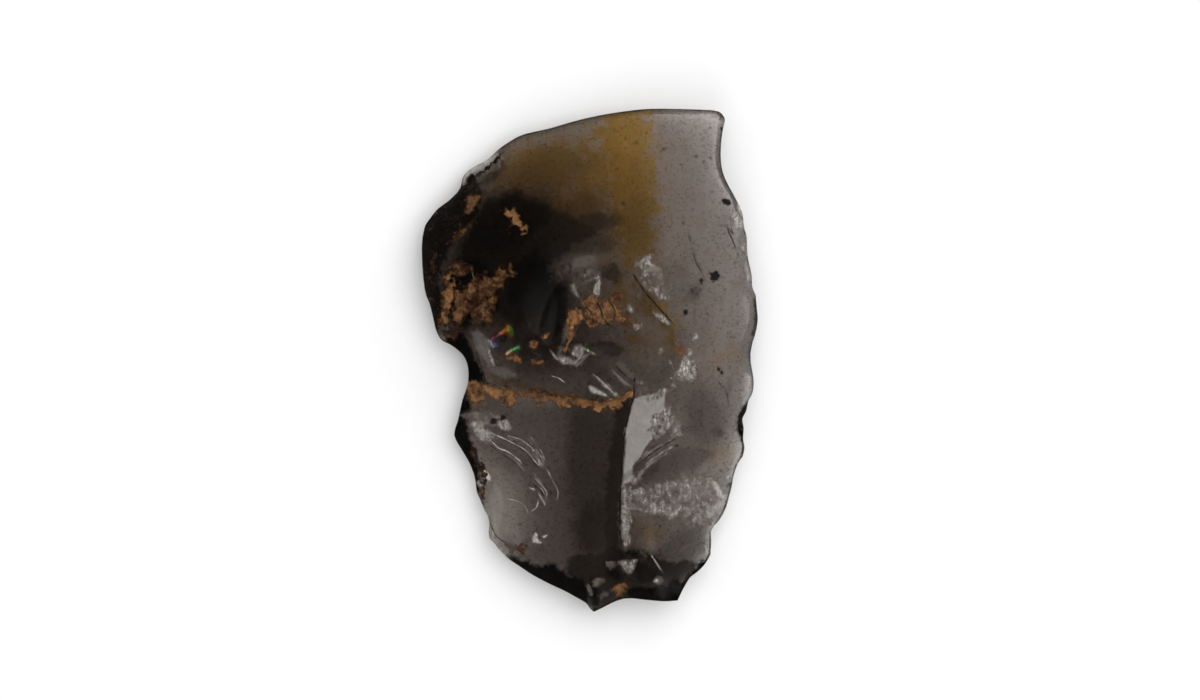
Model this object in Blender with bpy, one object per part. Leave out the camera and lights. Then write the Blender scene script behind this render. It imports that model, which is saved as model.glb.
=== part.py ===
"""An obsidian flake, struck from a core, lying on its smooth inner (ventral) face.

Run it with: blender --background --python part.py

The flake is one solid. Its outline is a chain of margins that meet at corners. Its upper (dorsal)
face is the lowest of a set of flake scars, which are shallow hollow surfaces left by earlier blows,
and of the steep faces that run in from the margins. Where two scars cross there is a sharp ridge.
Its underside is one gently bowed face with a bulb of percussion and a small flat to rest on.

Sizes below are in millimetres, +X to the right, +Y towards the far (distal) end, +Z up.
"""

import math
from dataclasses import dataclass, field

import bmesh
import bpy
import numpy as np
from mathutils import Vector, geometry, noise

MM = 0.001

# Driving dimensions
FLAKE_WIDTH = 16.64
FLAKE_LENGTH = 24.9
CORE_HEIGHT = 5.25
RIDGE_HEIGHT = 3.38
STEP_STEEPNESS = 4.0
FLAT_CENTRE = (-0.9, 0.6)
FLAT_HALF_WIDTH = 3.0
FLAT_HALF_LENGTH = 4.4
EDGE_LIFT = 0.24
BULB_CENTRE = (2.5, -9.6)
BULB_RADIUS = 2.1
BULB_DEPTH = 0.4
PERCUSSION_POINT = (2.9, -11.8)

# Mesh fineness
RIM_SPACING = 0.30
DORSAL_SPACING = 0.36
VENTRAL_SPACING = 0.62
BLEND_LENGTH = 0.9
SOFT_CREST = 0.35
UNEVENNESS = 0.035
ROUGH_CORTEX = 0.16


@dataclass
class Margin:
    """One stretch of the outline, clockwise, with the face that rises from it towards the middle."""

    name: str
    points: list
    rim: float
    steepness: float
    ledge: float = 0.0


@dataclass
class Scar:
    """One scar. height is its floor's height where the blow landed, climb and lean are its rise per
    millimetre along the blow and to the left of it, bow_along and bow_across hollow it out, and
    step is the line, with rising stone on its left, where the scar stops short."""

    name: str
    struck: tuple
    heading: float
    height: float
    climb: float
    lean: float = 0.0
    bow_along: float = 0.0
    bow_across: float = 0.0
    step: list = field(default_factory=list)
    steepness: float = STEP_STEEPNESS


@dataclass
class Bite:
    """A small bowl-shaped scar cut into the larger ones, that deep in the middle."""

    name: str
    centre: tuple
    heading: float
    half_length: float
    half_width: float
    depth: float


@dataclass
class Ripples:
    """Rings of a wave in the glass around the point of a blow, between two radii and two bearings."""

    centre: tuple
    inner: float
    outer: float
    spacing: float
    depth: float
    bearings: tuple


MARGINS = [
    Margin(
        "distal edge",
        [(-4.62, 10.40), (-4.0, 10.82), (-3.3, 11.18), (-2.0, 11.49), (-1.0, 11.78), (0.0, 12.03),
         (1.2, 12.25), (2.8, 12.43), (4.5, 12.42), (6.15, 12.33), (6.52, 12.18)],
        rim=0.75, steepness=2.4,
    ),
    Margin("distal corner", [(6.52, 12.18), (6.68, 11.9), (6.58, 11.4)], rim=0.60, steepness=2.0),
    Margin(
        "distal notch",
        [(6.58, 11.4), (6.50, 10.8), (6.48, 10.0), (6.58, 9.3), (6.82, 8.72), (7.15, 8.12), (7.42, 7.6)],
        rim=0.70, steepness=2.2,
    ),
    Margin(
        "upper right retouch",
        [(7.42, 7.6), (7.57, 7.2), (7.64, 6.6), (7.77, 6.1), (7.80, 5.4), (7.87, 4.9), (8.02, 4.2),
         (8.05, 3.65), (8.22, 3.2)],
        rim=0.50, steepness=1.2,
    ),
    Margin(
        "right belly",
        [(8.22, 3.2), (8.27, 2.6), (8.32, 2.0), (8.22, 1.35), (8.05, 0.8), (7.96, 0.3)],
        rim=0.60, steepness=1.8,
    ),
    Margin(
        "right retouch",
        [(7.96, 0.3), (7.99, -0.2), (8.08, -0.7), (8.12, -1.1), (8.07, -1.6), (7.85, -2.05)],
        rim=0.55, steepness=1.3,
    ),
    Margin(
        "right nick",
        [(7.85, -2.05), (7.74, -2.55), (7.56, -2.93), (7.62, -3.4), (7.59, -3.9), (7.66, -4.35),
         (7.58, -4.78)],
        rim=0.70, steepness=1.6,
    ),
    Margin(
        "lower right edge",
        [(7.58, -4.78), (7.35, -5.12), (7.14, -5.7), (7.03, -6.3), (6.90, -6.8), (6.74, -7.35),
         (6.45, -7.9), (6.15, -8.25), (6.0, -8.5)],
        rim=0.50, steepness=1.3,
    ),
    Margin("lower right facet", [(6.0, -8.5), (6.01, -9.1), (5.97, -9.65)], rim=0.60, steepness=1.0),
    Margin(
        "proximal right edge",
        [(5.97, -9.65), (5.68, -10.12), (5.3, -10.5), (4.97, -10.76), (4.75, -11.1), (4.52, -11.5),
         (4.33, -11.87)],
        rim=0.90, steepness=0.9,
    ),
    Margin(
        "striking platform",
        [(4.33, -11.87), (3.6, -11.89), (2.9, -11.84), (2.1, -11.78)],
        rim=1.70, steepness=0.85,
    ),
    Margin(
        "platform lip",
        [(2.1, -11.78), (1.65, -11.83), (1.15, -12.0), (0.65, -12.25), (0.2, -12.47)],
        rim=1.10, steepness=0.9,
    ),
    Margin(
        "proximal spur",
        [(0.2, -12.47), (0.02, -12.32), (-0.18, -12.05), (-0.6, -11.8)],
        rim=1.00, steepness=0.9,
    ),
    Margin(
        "proximal left flank",
        [(-0.6, -11.8), (-1.25, -11.45), (-2.0, -11.1), (-2.8, -10.68), (-3.4, -10.3)],
        rim=0.95, steepness=0.9,
    ),
    Margin(
        "proximal left edge",
        [(-3.4, -10.3), (-4.0, -9.9), (-4.5, -9.42), (-4.75, -9.1), (-4.98, -8.88)],
        rim=0.70, steepness=0.9,
    ),
    Margin(
        "thin left edge",
        [(-4.98, -8.88), (-5.03, -8.55), (-5.0, -8.1), (-5.1, -7.72), (-5.26, -7.42), (-5.45, -6.95),
         (-5.62, -6.55), (-5.70, -6.0), (-5.80, -5.6), (-6.0, -5.1)],
        rim=0.60, steepness=1.0,
    ),
    Margin(
        "left barb",
        [(-6.0, -5.1), (-6.28, -4.62), (-6.6, -4.1), (-6.74, -3.75)],
        rim=0.65, steepness=0.85,
    ),
    Margin(
        "left waist",
        [(-6.74, -3.75), (-6.70, -3.45), (-6.55, -3.0), (-6.41, -2.35), (-6.3, -1.9), (-6.15, -1.5),
         (-6.04, -1.1)],
        rim=0.95, steepness=0.9,
    ),
    Margin(
        "waist notch",
        [(-6.04, -1.1), (-6.02, -0.6), (-6.1, -0.15), (-6.3, 0.25), (-6.66, 0.58), (-7.0, 0.8)],
        rim=1.35, steepness=1.0,
    ),
    Margin(
        "left flank",
        [(-7.0, 0.8), (-7.35, 0.98), (-7.6, 1.4), (-7.75, 2.0), (-7.92, 2.7), (-8.14, 3.3),
         (-8.24, 4.0), (-8.3, 4.7), (-8.32, 5.5), (-8.29, 6.1)],
        rim=1.10, steepness=0.9,
    ),
    Margin(
        "upper left flank",
        [(-8.29, 6.1), (-8.16, 6.66), (-7.9, 7.05), (-7.55, 7.48), (-7.0, 7.9), (-6.62, 8.28),
         (-6.42, 8.58)],
        rim=0.80, steepness=0.9,
    ),
    Margin(
        "thin lip",
        [(-6.42, 8.58), (-6.33, 9.05), (-6.1, 9.36), (-5.7, 9.64), (-5.3, 9.85), (-4.98, 10.05),
         (-4.62, 10.40)],
        rim=0.30, steepness=2.4, ledge=0.38,
    ),
]

SCARS = [
    Scar("distal plain", (6.5, 6.5), 180, 1.95, climb=0.10, bow_along=0.020, bow_across=0.012),
    Scar("distal back slope", (-1.5, 11.6), 288, 1.75, climb=0.56, bow_along=-0.012),
    Scar("upper left slope", (-6.9, 8.0), 318, 2.0, climb=0.74, bow_along=-0.005, bow_across=0.012),
    Scar("left slope", (-8.3, 5.0), 0, 2.0, climb=0.86, bow_along=-0.01),
    Scar("core top", (-3.5, 4.8), 250, CORE_HEIGHT, climb=-0.06),
    Scar("waist facet", (-5.0, -1.2), 90, 3.30, climb=0.33, lean=-0.05, bow_along=0.10),
    Scar(
        "hinged scar", (-1.5, -2.8), 270, 2.75, climb=0.07, lean=0.17, bow_along=-0.001, bow_across=0.004,
        step=[(-7.5, -0.9), (-5.2, -1.15), (-3.5, -1.42), (-1.5, -1.78), (0.5, -2.05), (1.55, -1.92),
              (2.2, -1.5), (3.4, -0.7)],
    ),
    Scar("left spall", (-5.6, -7.2), 12, 1.50, climb=0.16, lean=0.03, bow_along=0.045, bow_across=0.040),
    Scar("dark bevel", (-1.4, -11.4), 62, 1.75, climb=0.90),
    Scar(
        "light strip", (1.70, -4.0), 0, RIDGE_HEIGHT, climb=-0.55, lean=0.02,
        bow_along=0.08, bow_across=0.04,
    ),
    Scar("middle right scar", (7.7, -2.7), 178, 1.40, climb=0.38, bow_across=0.06),
    Scar(
        "lens scar", (7.4, -4.6), 195, 1.20, climb=0.23, bow_along=0.011, bow_across=0.10,
        step=[(1.2, -6.3), (2.2, -5.6), (3.0, -4.9), (3.8, -4.35), (4.6, -3.95), (6.0, -3.5), (8.0, -3.1)],
        steepness=1.6,
    ),
    Scar("rough band", (6.7, -7.1), 180, 1.25, climb=0.38, bow_along=0.014, bow_across=0.06),
    Scar("proximal right scar", (5.9, -9.3), 176, 1.25, climb=0.53, lean=-0.03, bow_across=0.03),
]

BITES = [
    Bite("left leaf", (-6.60, 2.95), 80, 1.30, 0.78, 0.42),
    Bite("right leaf", (-4.95, 3.05), 84, 1.35, 0.98, 0.40),
    Bite("chip", (-3.70, 6.85), 310, 0.55, 0.30, 0.16),
    Bite("trough", (-1.60, 2.30), 78, 1.75, 0.62, 0.24),
    Bite("trough foot", (-1.05, 0.45), 90, 0.75, 0.80, 0.16),
    Bite("dirt hollow", (0.75, 2.35), 350, 1.15, 0.95, 0.28),
    Bite("dirt groove", (-0.85, 1.55), 80, 1.15, 0.28, 0.26),
    Bite("upper lobe", (0.85, 4.30), 330, 0.85, 0.55, 0.15),
    Bite("lower lobe", (1.15, 0.55), 0, 0.95, 0.50, 0.16),
    Bite("olive facet", (3.00, 2.10), 305, 1.55, 0.85, 0.24),
    Bite("crushed edge", (2.95, 4.25), 300, 1.10, 0.42, 0.22),
    Bite("feather scar", (4.80, -0.15), 280, 1.25, 0.62, 0.22),
    Bite("waist chip", (-5.30, -2.85), 30, 1.00, 0.70, 0.20),
    Bite("spall end", (-3.05, -7.35), 340, 0.75, 0.35, 0.14),
    Bite("round chip", (-2.50, -8.80), 20, 0.36, 0.30, 0.09),
    Bite("platform scar", (2.35, -10.65), 98, 1.15, 0.95, 0.42),
    Bite("corner scar", (3.95, -10.75), 125, 1.10, 0.75, 0.40),
    Bite("spur scar", (0.75, -11.0), 85, 0.95, 0.62, 0.45),
    Bite("upper right chip", (7.20, 6.60), 100, 1.00, 0.55, 0.22),
    Bite("right chip", (7.35, -1.10), 190, 0.85, 0.60, 0.20),
    Bite("left edge chip", (-5.55, -5.95), 80, 0.90, 0.34, 0.16),
]

SPALL_RIPPLES = Ripples((-5.5, -7.0), inner=2.35, outer=3.95, spacing=0.52, depth=0.075, bearings=(2, 112))
WAIST_LANCES = Ripples((3.0, -3.4), inner=1.9, outer=3.4, spacing=0.62, depth=0.06, bearings=(112, 158))
VENTRAL_RIPPLES = Ripples(
    PERCUSSION_POINT, inner=3.2, outer=24.0, spacing=1.9, depth=0.030, bearings=(20, 160)
)

BULB_SCAR = Scar("bulb scar", (2.2, -9.1), 100, 0.36, climb=0.0, bow_along=-0.25, bow_across=-0.55)


def smooth_line(points, spacing):
    """A Catmull-Rom curve through the points, as points about that far apart, without its last."""
    p = np.array(points, float)
    p = np.vstack([2 * p[0] - p[1], p, 2 * p[-1] - p[-2]])
    found = []
    for a, b, c, d in zip(p, p[1:], p[2:], p[3:]):
        steps = max(1, round(float(np.linalg.norm(c - b)) / spacing))
        for t in np.arange(steps) / steps:
            found.append(0.5 * (2 * b + (c - a) * t + (2 * a - 5 * b + 4 * c - d) * t**2
                                + (3 * b - a - 3 * c + d) * t**3))
    return np.array(found)


def outline(spacing):
    """The whole outline, clockwise, and each point's rim height, steepness and ledge width, which
    pass into the next margin's over a short way."""
    lines = [smooth_line(m.points, spacing) for m in MARGINS]
    traits = [np.tile((m.rim, m.steepness, m.ledge), (len(line), 1)) for m, line in zip(MARGINS, lines)]
    traits = np.vstack(traits)
    reach = round(BLEND_LENGTH / 2 / spacing)
    blended = np.mean([np.roll(traits, shift, axis=0) for shift in range(-reach, reach + 1)], axis=0)
    return np.vstack(lines), blended


def along_and_across(place, heading, xy):
    """Distances from a place: along a heading, and to the left of it."""
    turn = math.radians(heading)
    dx = xy[:, 0] - place[0]
    dy = xy[:, 1] - place[1]
    return dx * math.cos(turn) + dy * math.sin(turn), dy * math.cos(turn) - dx * math.sin(turn)


def left_of_line(points, xy):
    """Signed distance from a line of points, above 0 on its left."""
    nearest = np.full(len(xy), np.inf)
    signed = np.zeros(len(xy))
    for a, b in zip(np.array(points), np.array(points)[1:]):
        way = b - a
        share = np.clip((xy - a) @ way / (way @ way), 0, 1)
        apart = xy - a - share[:, None] * way
        distance = np.hypot(apart[:, 0], apart[:, 1])
        side = way[0] * (xy[:, 1] - a[1]) - way[1] * (xy[:, 0] - a[0])
        closer = distance < nearest
        nearest[closer] = distance[closer]
        signed[closer] = (np.sign(side) * distance)[closer]
    return signed


def scar_height(scar, xy):
    """The scar's floor, and the wall that rises past its step."""
    u, v = along_and_across(scar.struck, scar.heading, xy)
    floor = scar.height + scar.climb * u + scar.lean * v + scar.bow_along * u * u + scar.bow_across * v * v
    if not scar.step:
        return floor, np.full(len(xy), -1.0)
    past = left_of_line(smooth_line(scar.step, 0.5), xy)
    return floor + scar.steepness * np.maximum(past, 0), past


def scar_layers(xy):
    """The floors of all the scars, one row each, and the signed distances past their steps. The two
    far scars run into each other with no ridge: the first row is both, and the second is set aside."""
    floors, steps = zip(*[scar_height(scar, xy) for scar in SCARS])
    floors = np.array(floors)
    floors[0] = -SOFT_CREST * np.logaddexp(-floors[0] / SOFT_CREST, -floors[1] / SOFT_CREST)
    floors[1] = 99.0
    return floors, np.array(steps)


def main_height(xy):
    """The lowest of the larger scars."""
    return scar_layers(xy)[0].min(0)


def bite_height(bite, xy):
    """A bowl, set into the plane through the four ends of its length and width."""
    turn = math.radians(bite.heading)
    ahead = np.array((math.cos(turn), math.sin(turn))) * bite.half_length
    aside = np.array((-math.sin(turn), math.cos(turn))) * bite.half_width
    middle = np.array(bite.centre)
    front, back, left, right = main_height(middle + [ahead, -ahead, aside, -aside])
    u, v = along_and_across(bite.centre, bite.heading, xy)
    u = u / bite.half_length
    v = v / bite.half_width
    plane = (front + back + left + right) / 4 + (front - back) / 2 * u + (left - right) / 2 * v
    return plane - bite.depth * (1 - u * u - v * v)


def ripple(rings, xy):
    """The rise and fall of the rings, fading out at both radii and both bearings."""
    dx = xy[:, 0] - rings.centre[0]
    dy = xy[:, 1] - rings.centre[1]
    radius = np.hypot(dx, dy)
    bearing = np.degrees(np.arctan2(dy, dx)) % 360
    share = np.clip((radius - rings.inner) / (rings.outer - rings.inner), 0, 1)
    first, last = rings.bearings
    turn = np.clip((bearing - first) / (last - first), 0, 1)
    fade = np.sin(math.pi * share) ** 0.5 * np.sin(math.pi * turn) ** 0.5
    return -rings.depth * fade * np.cos(2 * math.pi * (rings.outer - radius) / rings.spacing)


def roughness(xy, size, seed):
    """Smooth unevenness from -1 to 1, in patches about that size."""
    return np.array([noise.noise(Vector((x / size, y / size, seed))) for x, y in xy])


def ventral_height(xy):
    """The underside: flat in the middle, bowed up to the edges, with the bulb and its small scar."""
    dx = (xy[:, 0] - FLAT_CENTRE[0]) / FLAT_HALF_WIDTH
    dy = (xy[:, 1] - FLAT_CENTRE[1]) / FLAT_HALF_LENGTH
    beyond = np.maximum(np.hypot(dx, dy) - 1, 0)
    bow = EDGE_LIFT * beyond**1.6
    from_bulb = np.hypot(xy[:, 0] - BULB_CENTRE[0], xy[:, 1] - BULB_CENTRE[1]) / BULB_RADIUS
    bulb = BULB_DEPTH * np.exp(-(from_bulb**2))
    waves = ripple(VENTRAL_RIPPLES, xy) * np.minimum(beyond / 0.5, 1)
    surface = np.maximum(bow - bulb + waves, np.where(beyond > 0, 0.03 * np.minimum(beyond / 0.1, 1), 0))
    return np.maximum(surface, scar_height(BULB_SCAR, xy)[0])


def from_outline(xy):
    """Each point's distance from the outline, and the rim, steepness and ledge of the nearest margin."""
    edge, traits = outline(RIM_SPACING / 3)
    distance = np.full(len(xy), np.inf)
    nearest = np.zeros(len(xy), int)
    for i, (x, y) in enumerate(edge):
        apart = np.hypot(xy[:, 0] - x, xy[:, 1] - y)
        closer = apart < distance
        distance[closer] = apart[closer]
        nearest[closer] = i
    return distance, traits[nearest]


def dorsal_layers(xy):
    """The heights of all the scars and of the margin's face, one row each, and each point's signed
    distance past the step of every scar."""
    distance, traits = from_outline(xy)
    rim, steepness, ledge = traits.T
    margin = ventral_height(xy) + rim + 0.2 * np.minimum(distance, ledge)
    margin += steepness * np.maximum(distance - ledge, 0)
    floors, steps = scar_layers(xy)
    bites = [bite_height(bite, xy) for bite in BITES]
    no_steps = np.full((len(BITES) + 1, len(xy)), -1.0)
    return np.vstack([floors, *bites, margin]), np.vstack([steps, no_steps])


def dorsal_height(xy):
    """The upper face: the lowest layer, with ripples in their scars and a little unevenness."""
    layers, _ = dorsal_layers(xy)
    names = [scar.name for scar in SCARS]
    lowest = layers.argmin(0)
    height = layers.min(0)
    spall = (lowest == names.index("left spall")) | (lowest == names.index("hinged scar"))
    waist = lowest == names.index("waist facet")
    height += np.where(spall, ripple(SPALL_RIPPLES, xy), 0)
    height += np.where(waist, ripple(WAIST_LANCES, xy), 0)
    cortex = np.isin(lowest, [names.index("left slope"), names.index("upper left slope")])
    height += UNEVENNESS * roughness(xy, 1.9, 3.0)
    height += np.where(cortex, ROUGH_CORTEX * roughness(xy, 0.85, 7.0), 0)
    return height


def crease_gaps(xy):
    """Signed gaps that are zero on a ridge between two scars, or at the foot of a step."""
    layers, steps = dorsal_layers(xy)
    order = layers.argsort(0)
    columns = np.arange(len(xy))
    ridge = layers[order[1], columns] - layers[order[0], columns]
    return ridge, steps[order[0], columns]


def drawn_to_creases(xy, reach):
    """The points, each moved onto the nearest ridge or step foot if that is within reach."""
    step = 0.01
    moved = xy.copy()
    for _ in range(2):
        here = crease_gaps(moved)
        east = crease_gaps(moved + (step, 0))
        north = crease_gaps(moved + (0, step))
        best = np.full(len(xy), reach)
        shift = np.zeros_like(xy)
        for gap, gap_east, gap_north in zip(here, east, north):
            slope = np.stack([gap_east - gap, gap_north - gap], 1) / step
            steep = np.maximum((slope**2).sum(1), 1e-9)
            away = np.abs(gap) / np.sqrt(steep)
            near = away < best
            best[near] = away[near]
            shift[near] = -(gap / steep)[near, None] * slope[near]
        moved = moved + shift
    return moved


def lattice(spacing, keep_off):
    """Staggered points inside the outline, none nearer to it than keep_off."""
    rows = np.arange(-FLAKE_LENGTH / 2, FLAKE_LENGTH / 2, spacing * math.sqrt(0.75))
    columns = np.arange(-FLAKE_WIDTH / 2, FLAKE_WIDTH / 2, spacing)
    xy = np.array([(x + (i % 2) * spacing / 2, y) for i, y in enumerate(rows) for x in columns])
    return xy[inside_outline(xy) & (from_outline(xy)[0] > keep_off)]


def inside_outline(xy):
    """Whether each point is inside the outline, by how often a ray to +X crosses it."""
    edge, _ = outline(RIM_SPACING)
    inside = np.zeros(len(xy), bool)
    for (ax, ay), (bx, by) in zip(edge, np.roll(edge, -1, axis=0)):
        spans = (ay > xy[:, 1]) != (by > xy[:, 1])
        with np.errstate(divide="ignore", invalid="ignore"):
            crossing = ax + (xy[:, 1] - ay) / (by - ay) * (bx - ax)
        inside ^= spans & (xy[:, 0] < crossing)
    return inside


def ripple_rows(rings, apart):
    """Points along the crests and troughs of the rings."""
    radii = np.arange(rings.outer, rings.inner, -rings.spacing / 2)
    first, last = (math.radians(b) for b in rings.bearings)
    rows = []
    for radius in radii:
        count = max(2, round(radius * (last - first) / apart))
        for turn in np.linspace(first, last, count):
            x = rings.centre[0] + radius * math.cos(turn)
            y = rings.centre[1] + radius * math.sin(turn)
            rows.append((x, y))
    return np.array(rows)


def left_of(line, closed):
    """At each point of a line, the way that points to its left."""
    way = np.roll(line, -1, axis=0) - np.roll(line, 1, axis=0) if closed else np.gradient(line, axis=0)
    return np.stack([-way[:, 1], way[:, 0]], 1) / np.hypot(way[:, 0], way[:, 1])[:, None]


def brow_row(starts, ways, layer, widest):
    """From each start, the first place on its way where that layer is no longer the lowest."""
    depths = np.arange(0.06, widest, 0.03)
    tracks = starts[:, None, :] + depths[None, :, None] * ways[:, None, :]
    layers, _ = dorsal_layers(tracks.reshape(-1, 2))
    given_way = (layers.argmin(0) != layer).reshape(len(starts), len(depths))
    found = given_way.any(1) & ~given_way[:, 0]
    return tracks[np.arange(len(starts)), given_way.argmax(1)][found]


def step_rows(spacing):
    """Points along the foot and along the brow of every step."""
    rows = []
    for layer, scar in enumerate(SCARS):
        if scar.step:
            foot = smooth_line(scar.step, spacing)
            brow = brow_row(foot, left_of(foot, closed=False), layer, 1.0)
            foot = foot[dorsal_layers(foot)[0].argmin(0) == layer]
            rows += [foot, brow]
    return np.vstack(rows)


def spread(xy, gap):
    """The points, leaving out any that is closer than gap to one before it."""
    kept = []
    cells = {}
    for x, y in xy:
        column, row = math.floor(x / gap), math.floor(y / gap)
        around = [cells.get((column + i, row + j)) for i in (-1, 0, 1) for j in (-1, 0, 1)]
        near = [p for places in around if places for p in places]
        if all((x - a) ** 2 + (y - b) ** 2 >= gap * gap for a, b in near):
            kept.append((x, y))
            cells.setdefault((column, row), []).append((x, y))
    return np.array(kept)


def dorsal_points(edge):
    """Where the upper face has its vertices, besides the rim."""
    shoulder = brow_row(edge, -left_of(edge, closed=True), len(SCARS) + len(BITES), 1.2)
    steps = step_rows(DORSAL_SPACING * 0.8)
    waves = ripple_rows(SPALL_RIPPLES, 0.34)
    points = drawn_to_creases(lattice(DORSAL_SPACING, DORSAL_SPACING * 0.55), DORSAL_SPACING * 0.5)
    points = points[inside_outline(points)]
    rows = spread(np.vstack([steps, shoulder, waves]), DORSAL_SPACING * 0.3)
    rows = rows[inside_outline(rows)]
    every = spread(np.vstack([rows, points]), DORSAL_SPACING * 0.5)
    return every[from_outline(every)[0] > 0.1]


def triangulated(edge, inner):
    """Triangles over the outline and the points inside it: the points, and triples of their places."""
    places = [Vector(p) for p in np.vstack([edge, inner])]
    rim = [(i, (i + 1) % len(edge)) for i in range(len(edge))]
    points, _, faces, *_ = geometry.delaunay_2d_cdt(places, rim, [], 1, 1e-5)
    return np.array([tuple(p) for p in points]), faces


def flake_mesh():
    """The closed mesh: upper face, underside, and the thin rim between them."""
    edge, traits = outline(RIM_SPACING)
    floor = ventral_height(edge)
    upper, upper_faces = triangulated(edge, dorsal_points(edge))
    lower, lower_faces = triangulated(edge, lattice(VENTRAL_SPACING, VENTRAL_SPACING * 0.5))
    count = len(edge)
    upper_z = dorsal_height(upper)
    upper_z[:count] = floor + traits[:, 0]
    upper_z[count:] = np.maximum(upper_z[count:], ventral_height(upper[count:]) + 0.15)
    lower_z = ventral_height(lower)
    middle = (edge.max(0) + edge.min(0)) / 2

    mesh = bmesh.new()
    top = [mesh.verts.new((x * MM, y * MM, z * MM)) for (x, y), z in zip(upper - middle, upper_z)]
    bottom = [mesh.verts.new((x * MM, y * MM, z * MM)) for (x, y), z in zip(lower - middle, lower_z)]
    for face in upper_faces:
        mesh.faces.new([top[i] for i in face])
    for face in lower_faces:
        mesh.faces.new([bottom[i] for i in reversed(face)])
    for i in range(count):
        j = (i + 1) % count
        mesh.faces.new((top[i], top[j], bottom[j], bottom[i]))
    bmesh.ops.recalc_face_normals(mesh, faces=mesh.faces)
    bmesh.ops.triangulate(mesh, faces=mesh.faces)
    data = bpy.data.meshes.new("flake")
    mesh.to_mesh(data)
    mesh.free()
    return data


def obsidian():
    """Smoky, grey-brown volcanic glass."""
    material = bpy.data.materials.new("obsidian")
    material.use_nodes = True
    shader = material.node_tree.nodes["Principled BSDF"]
    shader.inputs["Base Color"].default_value = (0.05, 0.045, 0.04, 1)
    shader.inputs["Roughness"].default_value = 0.08
    shader.inputs["Metallic"].default_value = 0.0
    shader.inputs["IOR"].default_value = 1.49
    return material


def build():
    for old in list(bpy.data.objects):
        bpy.data.objects.remove(old)
    data = flake_mesh()
    data.shade_smooth()
    data.set_sharp_from_angle(angle=math.radians(22))
    data.materials.append(obsidian())
    flake = bpy.data.objects.new("flake", data)
    bpy.context.scene.collection.objects.link(flake)


build()
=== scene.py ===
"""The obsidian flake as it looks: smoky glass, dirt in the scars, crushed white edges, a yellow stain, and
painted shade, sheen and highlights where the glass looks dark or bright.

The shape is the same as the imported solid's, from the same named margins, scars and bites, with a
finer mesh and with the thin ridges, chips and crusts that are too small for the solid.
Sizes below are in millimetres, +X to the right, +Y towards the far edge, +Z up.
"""

import math
from dataclasses import dataclass, field

import bmesh
import bpy
import numpy as np
from mathutils import Matrix, Vector, geometry, kdtree, noise


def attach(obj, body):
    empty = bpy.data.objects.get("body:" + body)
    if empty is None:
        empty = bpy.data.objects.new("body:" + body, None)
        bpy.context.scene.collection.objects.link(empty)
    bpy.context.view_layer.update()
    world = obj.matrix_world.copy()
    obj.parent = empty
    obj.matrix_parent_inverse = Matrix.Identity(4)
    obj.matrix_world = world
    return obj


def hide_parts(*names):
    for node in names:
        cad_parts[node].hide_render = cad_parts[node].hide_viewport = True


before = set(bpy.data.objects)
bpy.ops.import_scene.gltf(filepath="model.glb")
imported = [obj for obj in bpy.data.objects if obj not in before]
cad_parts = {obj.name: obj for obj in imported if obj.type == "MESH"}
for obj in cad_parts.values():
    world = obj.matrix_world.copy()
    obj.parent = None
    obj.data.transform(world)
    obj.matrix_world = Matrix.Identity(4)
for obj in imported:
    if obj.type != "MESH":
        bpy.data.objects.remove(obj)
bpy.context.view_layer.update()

MM = 0.001

# Driving dimensions, as in the solid
FLAKE_WIDTH = 16.64
FLAKE_LENGTH = 24.9
CORE_HEIGHT = 5.25
RIDGE_HEIGHT = 3.38
STEP_STEEPNESS = 4.0
FLAT_CENTRE = (-0.9, 0.6)
FLAT_HALF_WIDTH = 3.0
FLAT_HALF_LENGTH = 4.4
EDGE_LIFT = 0.24
BULB_CENTRE = (2.5, -9.6)
BULB_RADIUS = 2.1
BULB_DEPTH = 0.4
PERCUSSION_POINT = (2.9, -11.8)
UNEVENNESS = 0.035
ROUGH_CORTEX = 0.16
BLEND_LENGTH = 0.9
SOFT_CREST = 0.35

# Mesh fineness
RIM_SPACING = 0.12
DORSAL_SPACING = 0.10
FINE_SPACING = 0.06
VENTRAL_SPACING = 0.30
EDGE_STEP = 0.1

# Small relief, in this mesh alone
CHIP_LENGTH = 0.9
CHIP_DEPTH = 0.16
HACKLE_HEIGHT = 0.030
FROST_RELIEF = 0.035
FROST_WAVES = 0.030
DIRT_RELIEF = 0.022
THINNEST = 0.15

# Painted shade in the glass, darker from the first of these thicknesses to the second
DEPTH_SHADE_FROM = 2.2
DEPTH_SHADE_TO = 4.1
DEPTH_SHADE = 0.95

# Painted shade: the dark line around the flake and the shade inside it
CONTOUR_WIDTH = 0.09
EDGE_SHADE_WIDTH = 0.30
EDGE_SHADE = 0.42

# Dirt has softer and more ragged edges than the rest
DIRT_RAG = 0.26
DIRT_SOFTNESS = 2.2
STAIN_RAG = 0.70

# A height above every scar
FAR = 99.0

# The view: straight down, its middle half a millimetre off the flake's
VIEW_WIDTH = 60.0
VIEW_CENTRE = (0.5, 0.5)
LENS = 100.0
SENSOR = 36.0

# The studio: metres for the floor's half side, then strengths of the light that falls on things,
# that the camera sees behind them, and that the gloss mirrors
FLOOR_HALF_SIDE = 1.5
FLOOR_DROP = 0.03
SOFT_LIGHT = 0.58
SEEN_LIGHT = 0.95
MIRRORED_LIGHT = (0.04, 0.26)
BRIGHT_WAY = (0.88, 0.30, 0.36)

# Edges with a larger turn than this look sharp
SHARP_ANGLE = 35


@dataclass
class Margin:
    """One stretch of the outline, clockwise, with the face that rises from it towards the middle."""

    name: str
    points: list
    rim: float
    steepness: float
    ledge: float = 0.0


@dataclass
class Scar:
    """One scar. height is its floor's height where the blow landed, climb and lean are its rise per
    millimetre along the blow and to the left of it, bow_along and bow_across hollow it out, and
    step is the line, with rising stone on its left, where the scar stops short."""

    name: str
    struck: tuple
    heading: float
    height: float
    climb: float
    lean: float = 0.0
    bow_along: float = 0.0
    bow_across: float = 0.0
    step: list = field(default_factory=list)
    steepness: float = STEP_STEEPNESS


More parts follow.
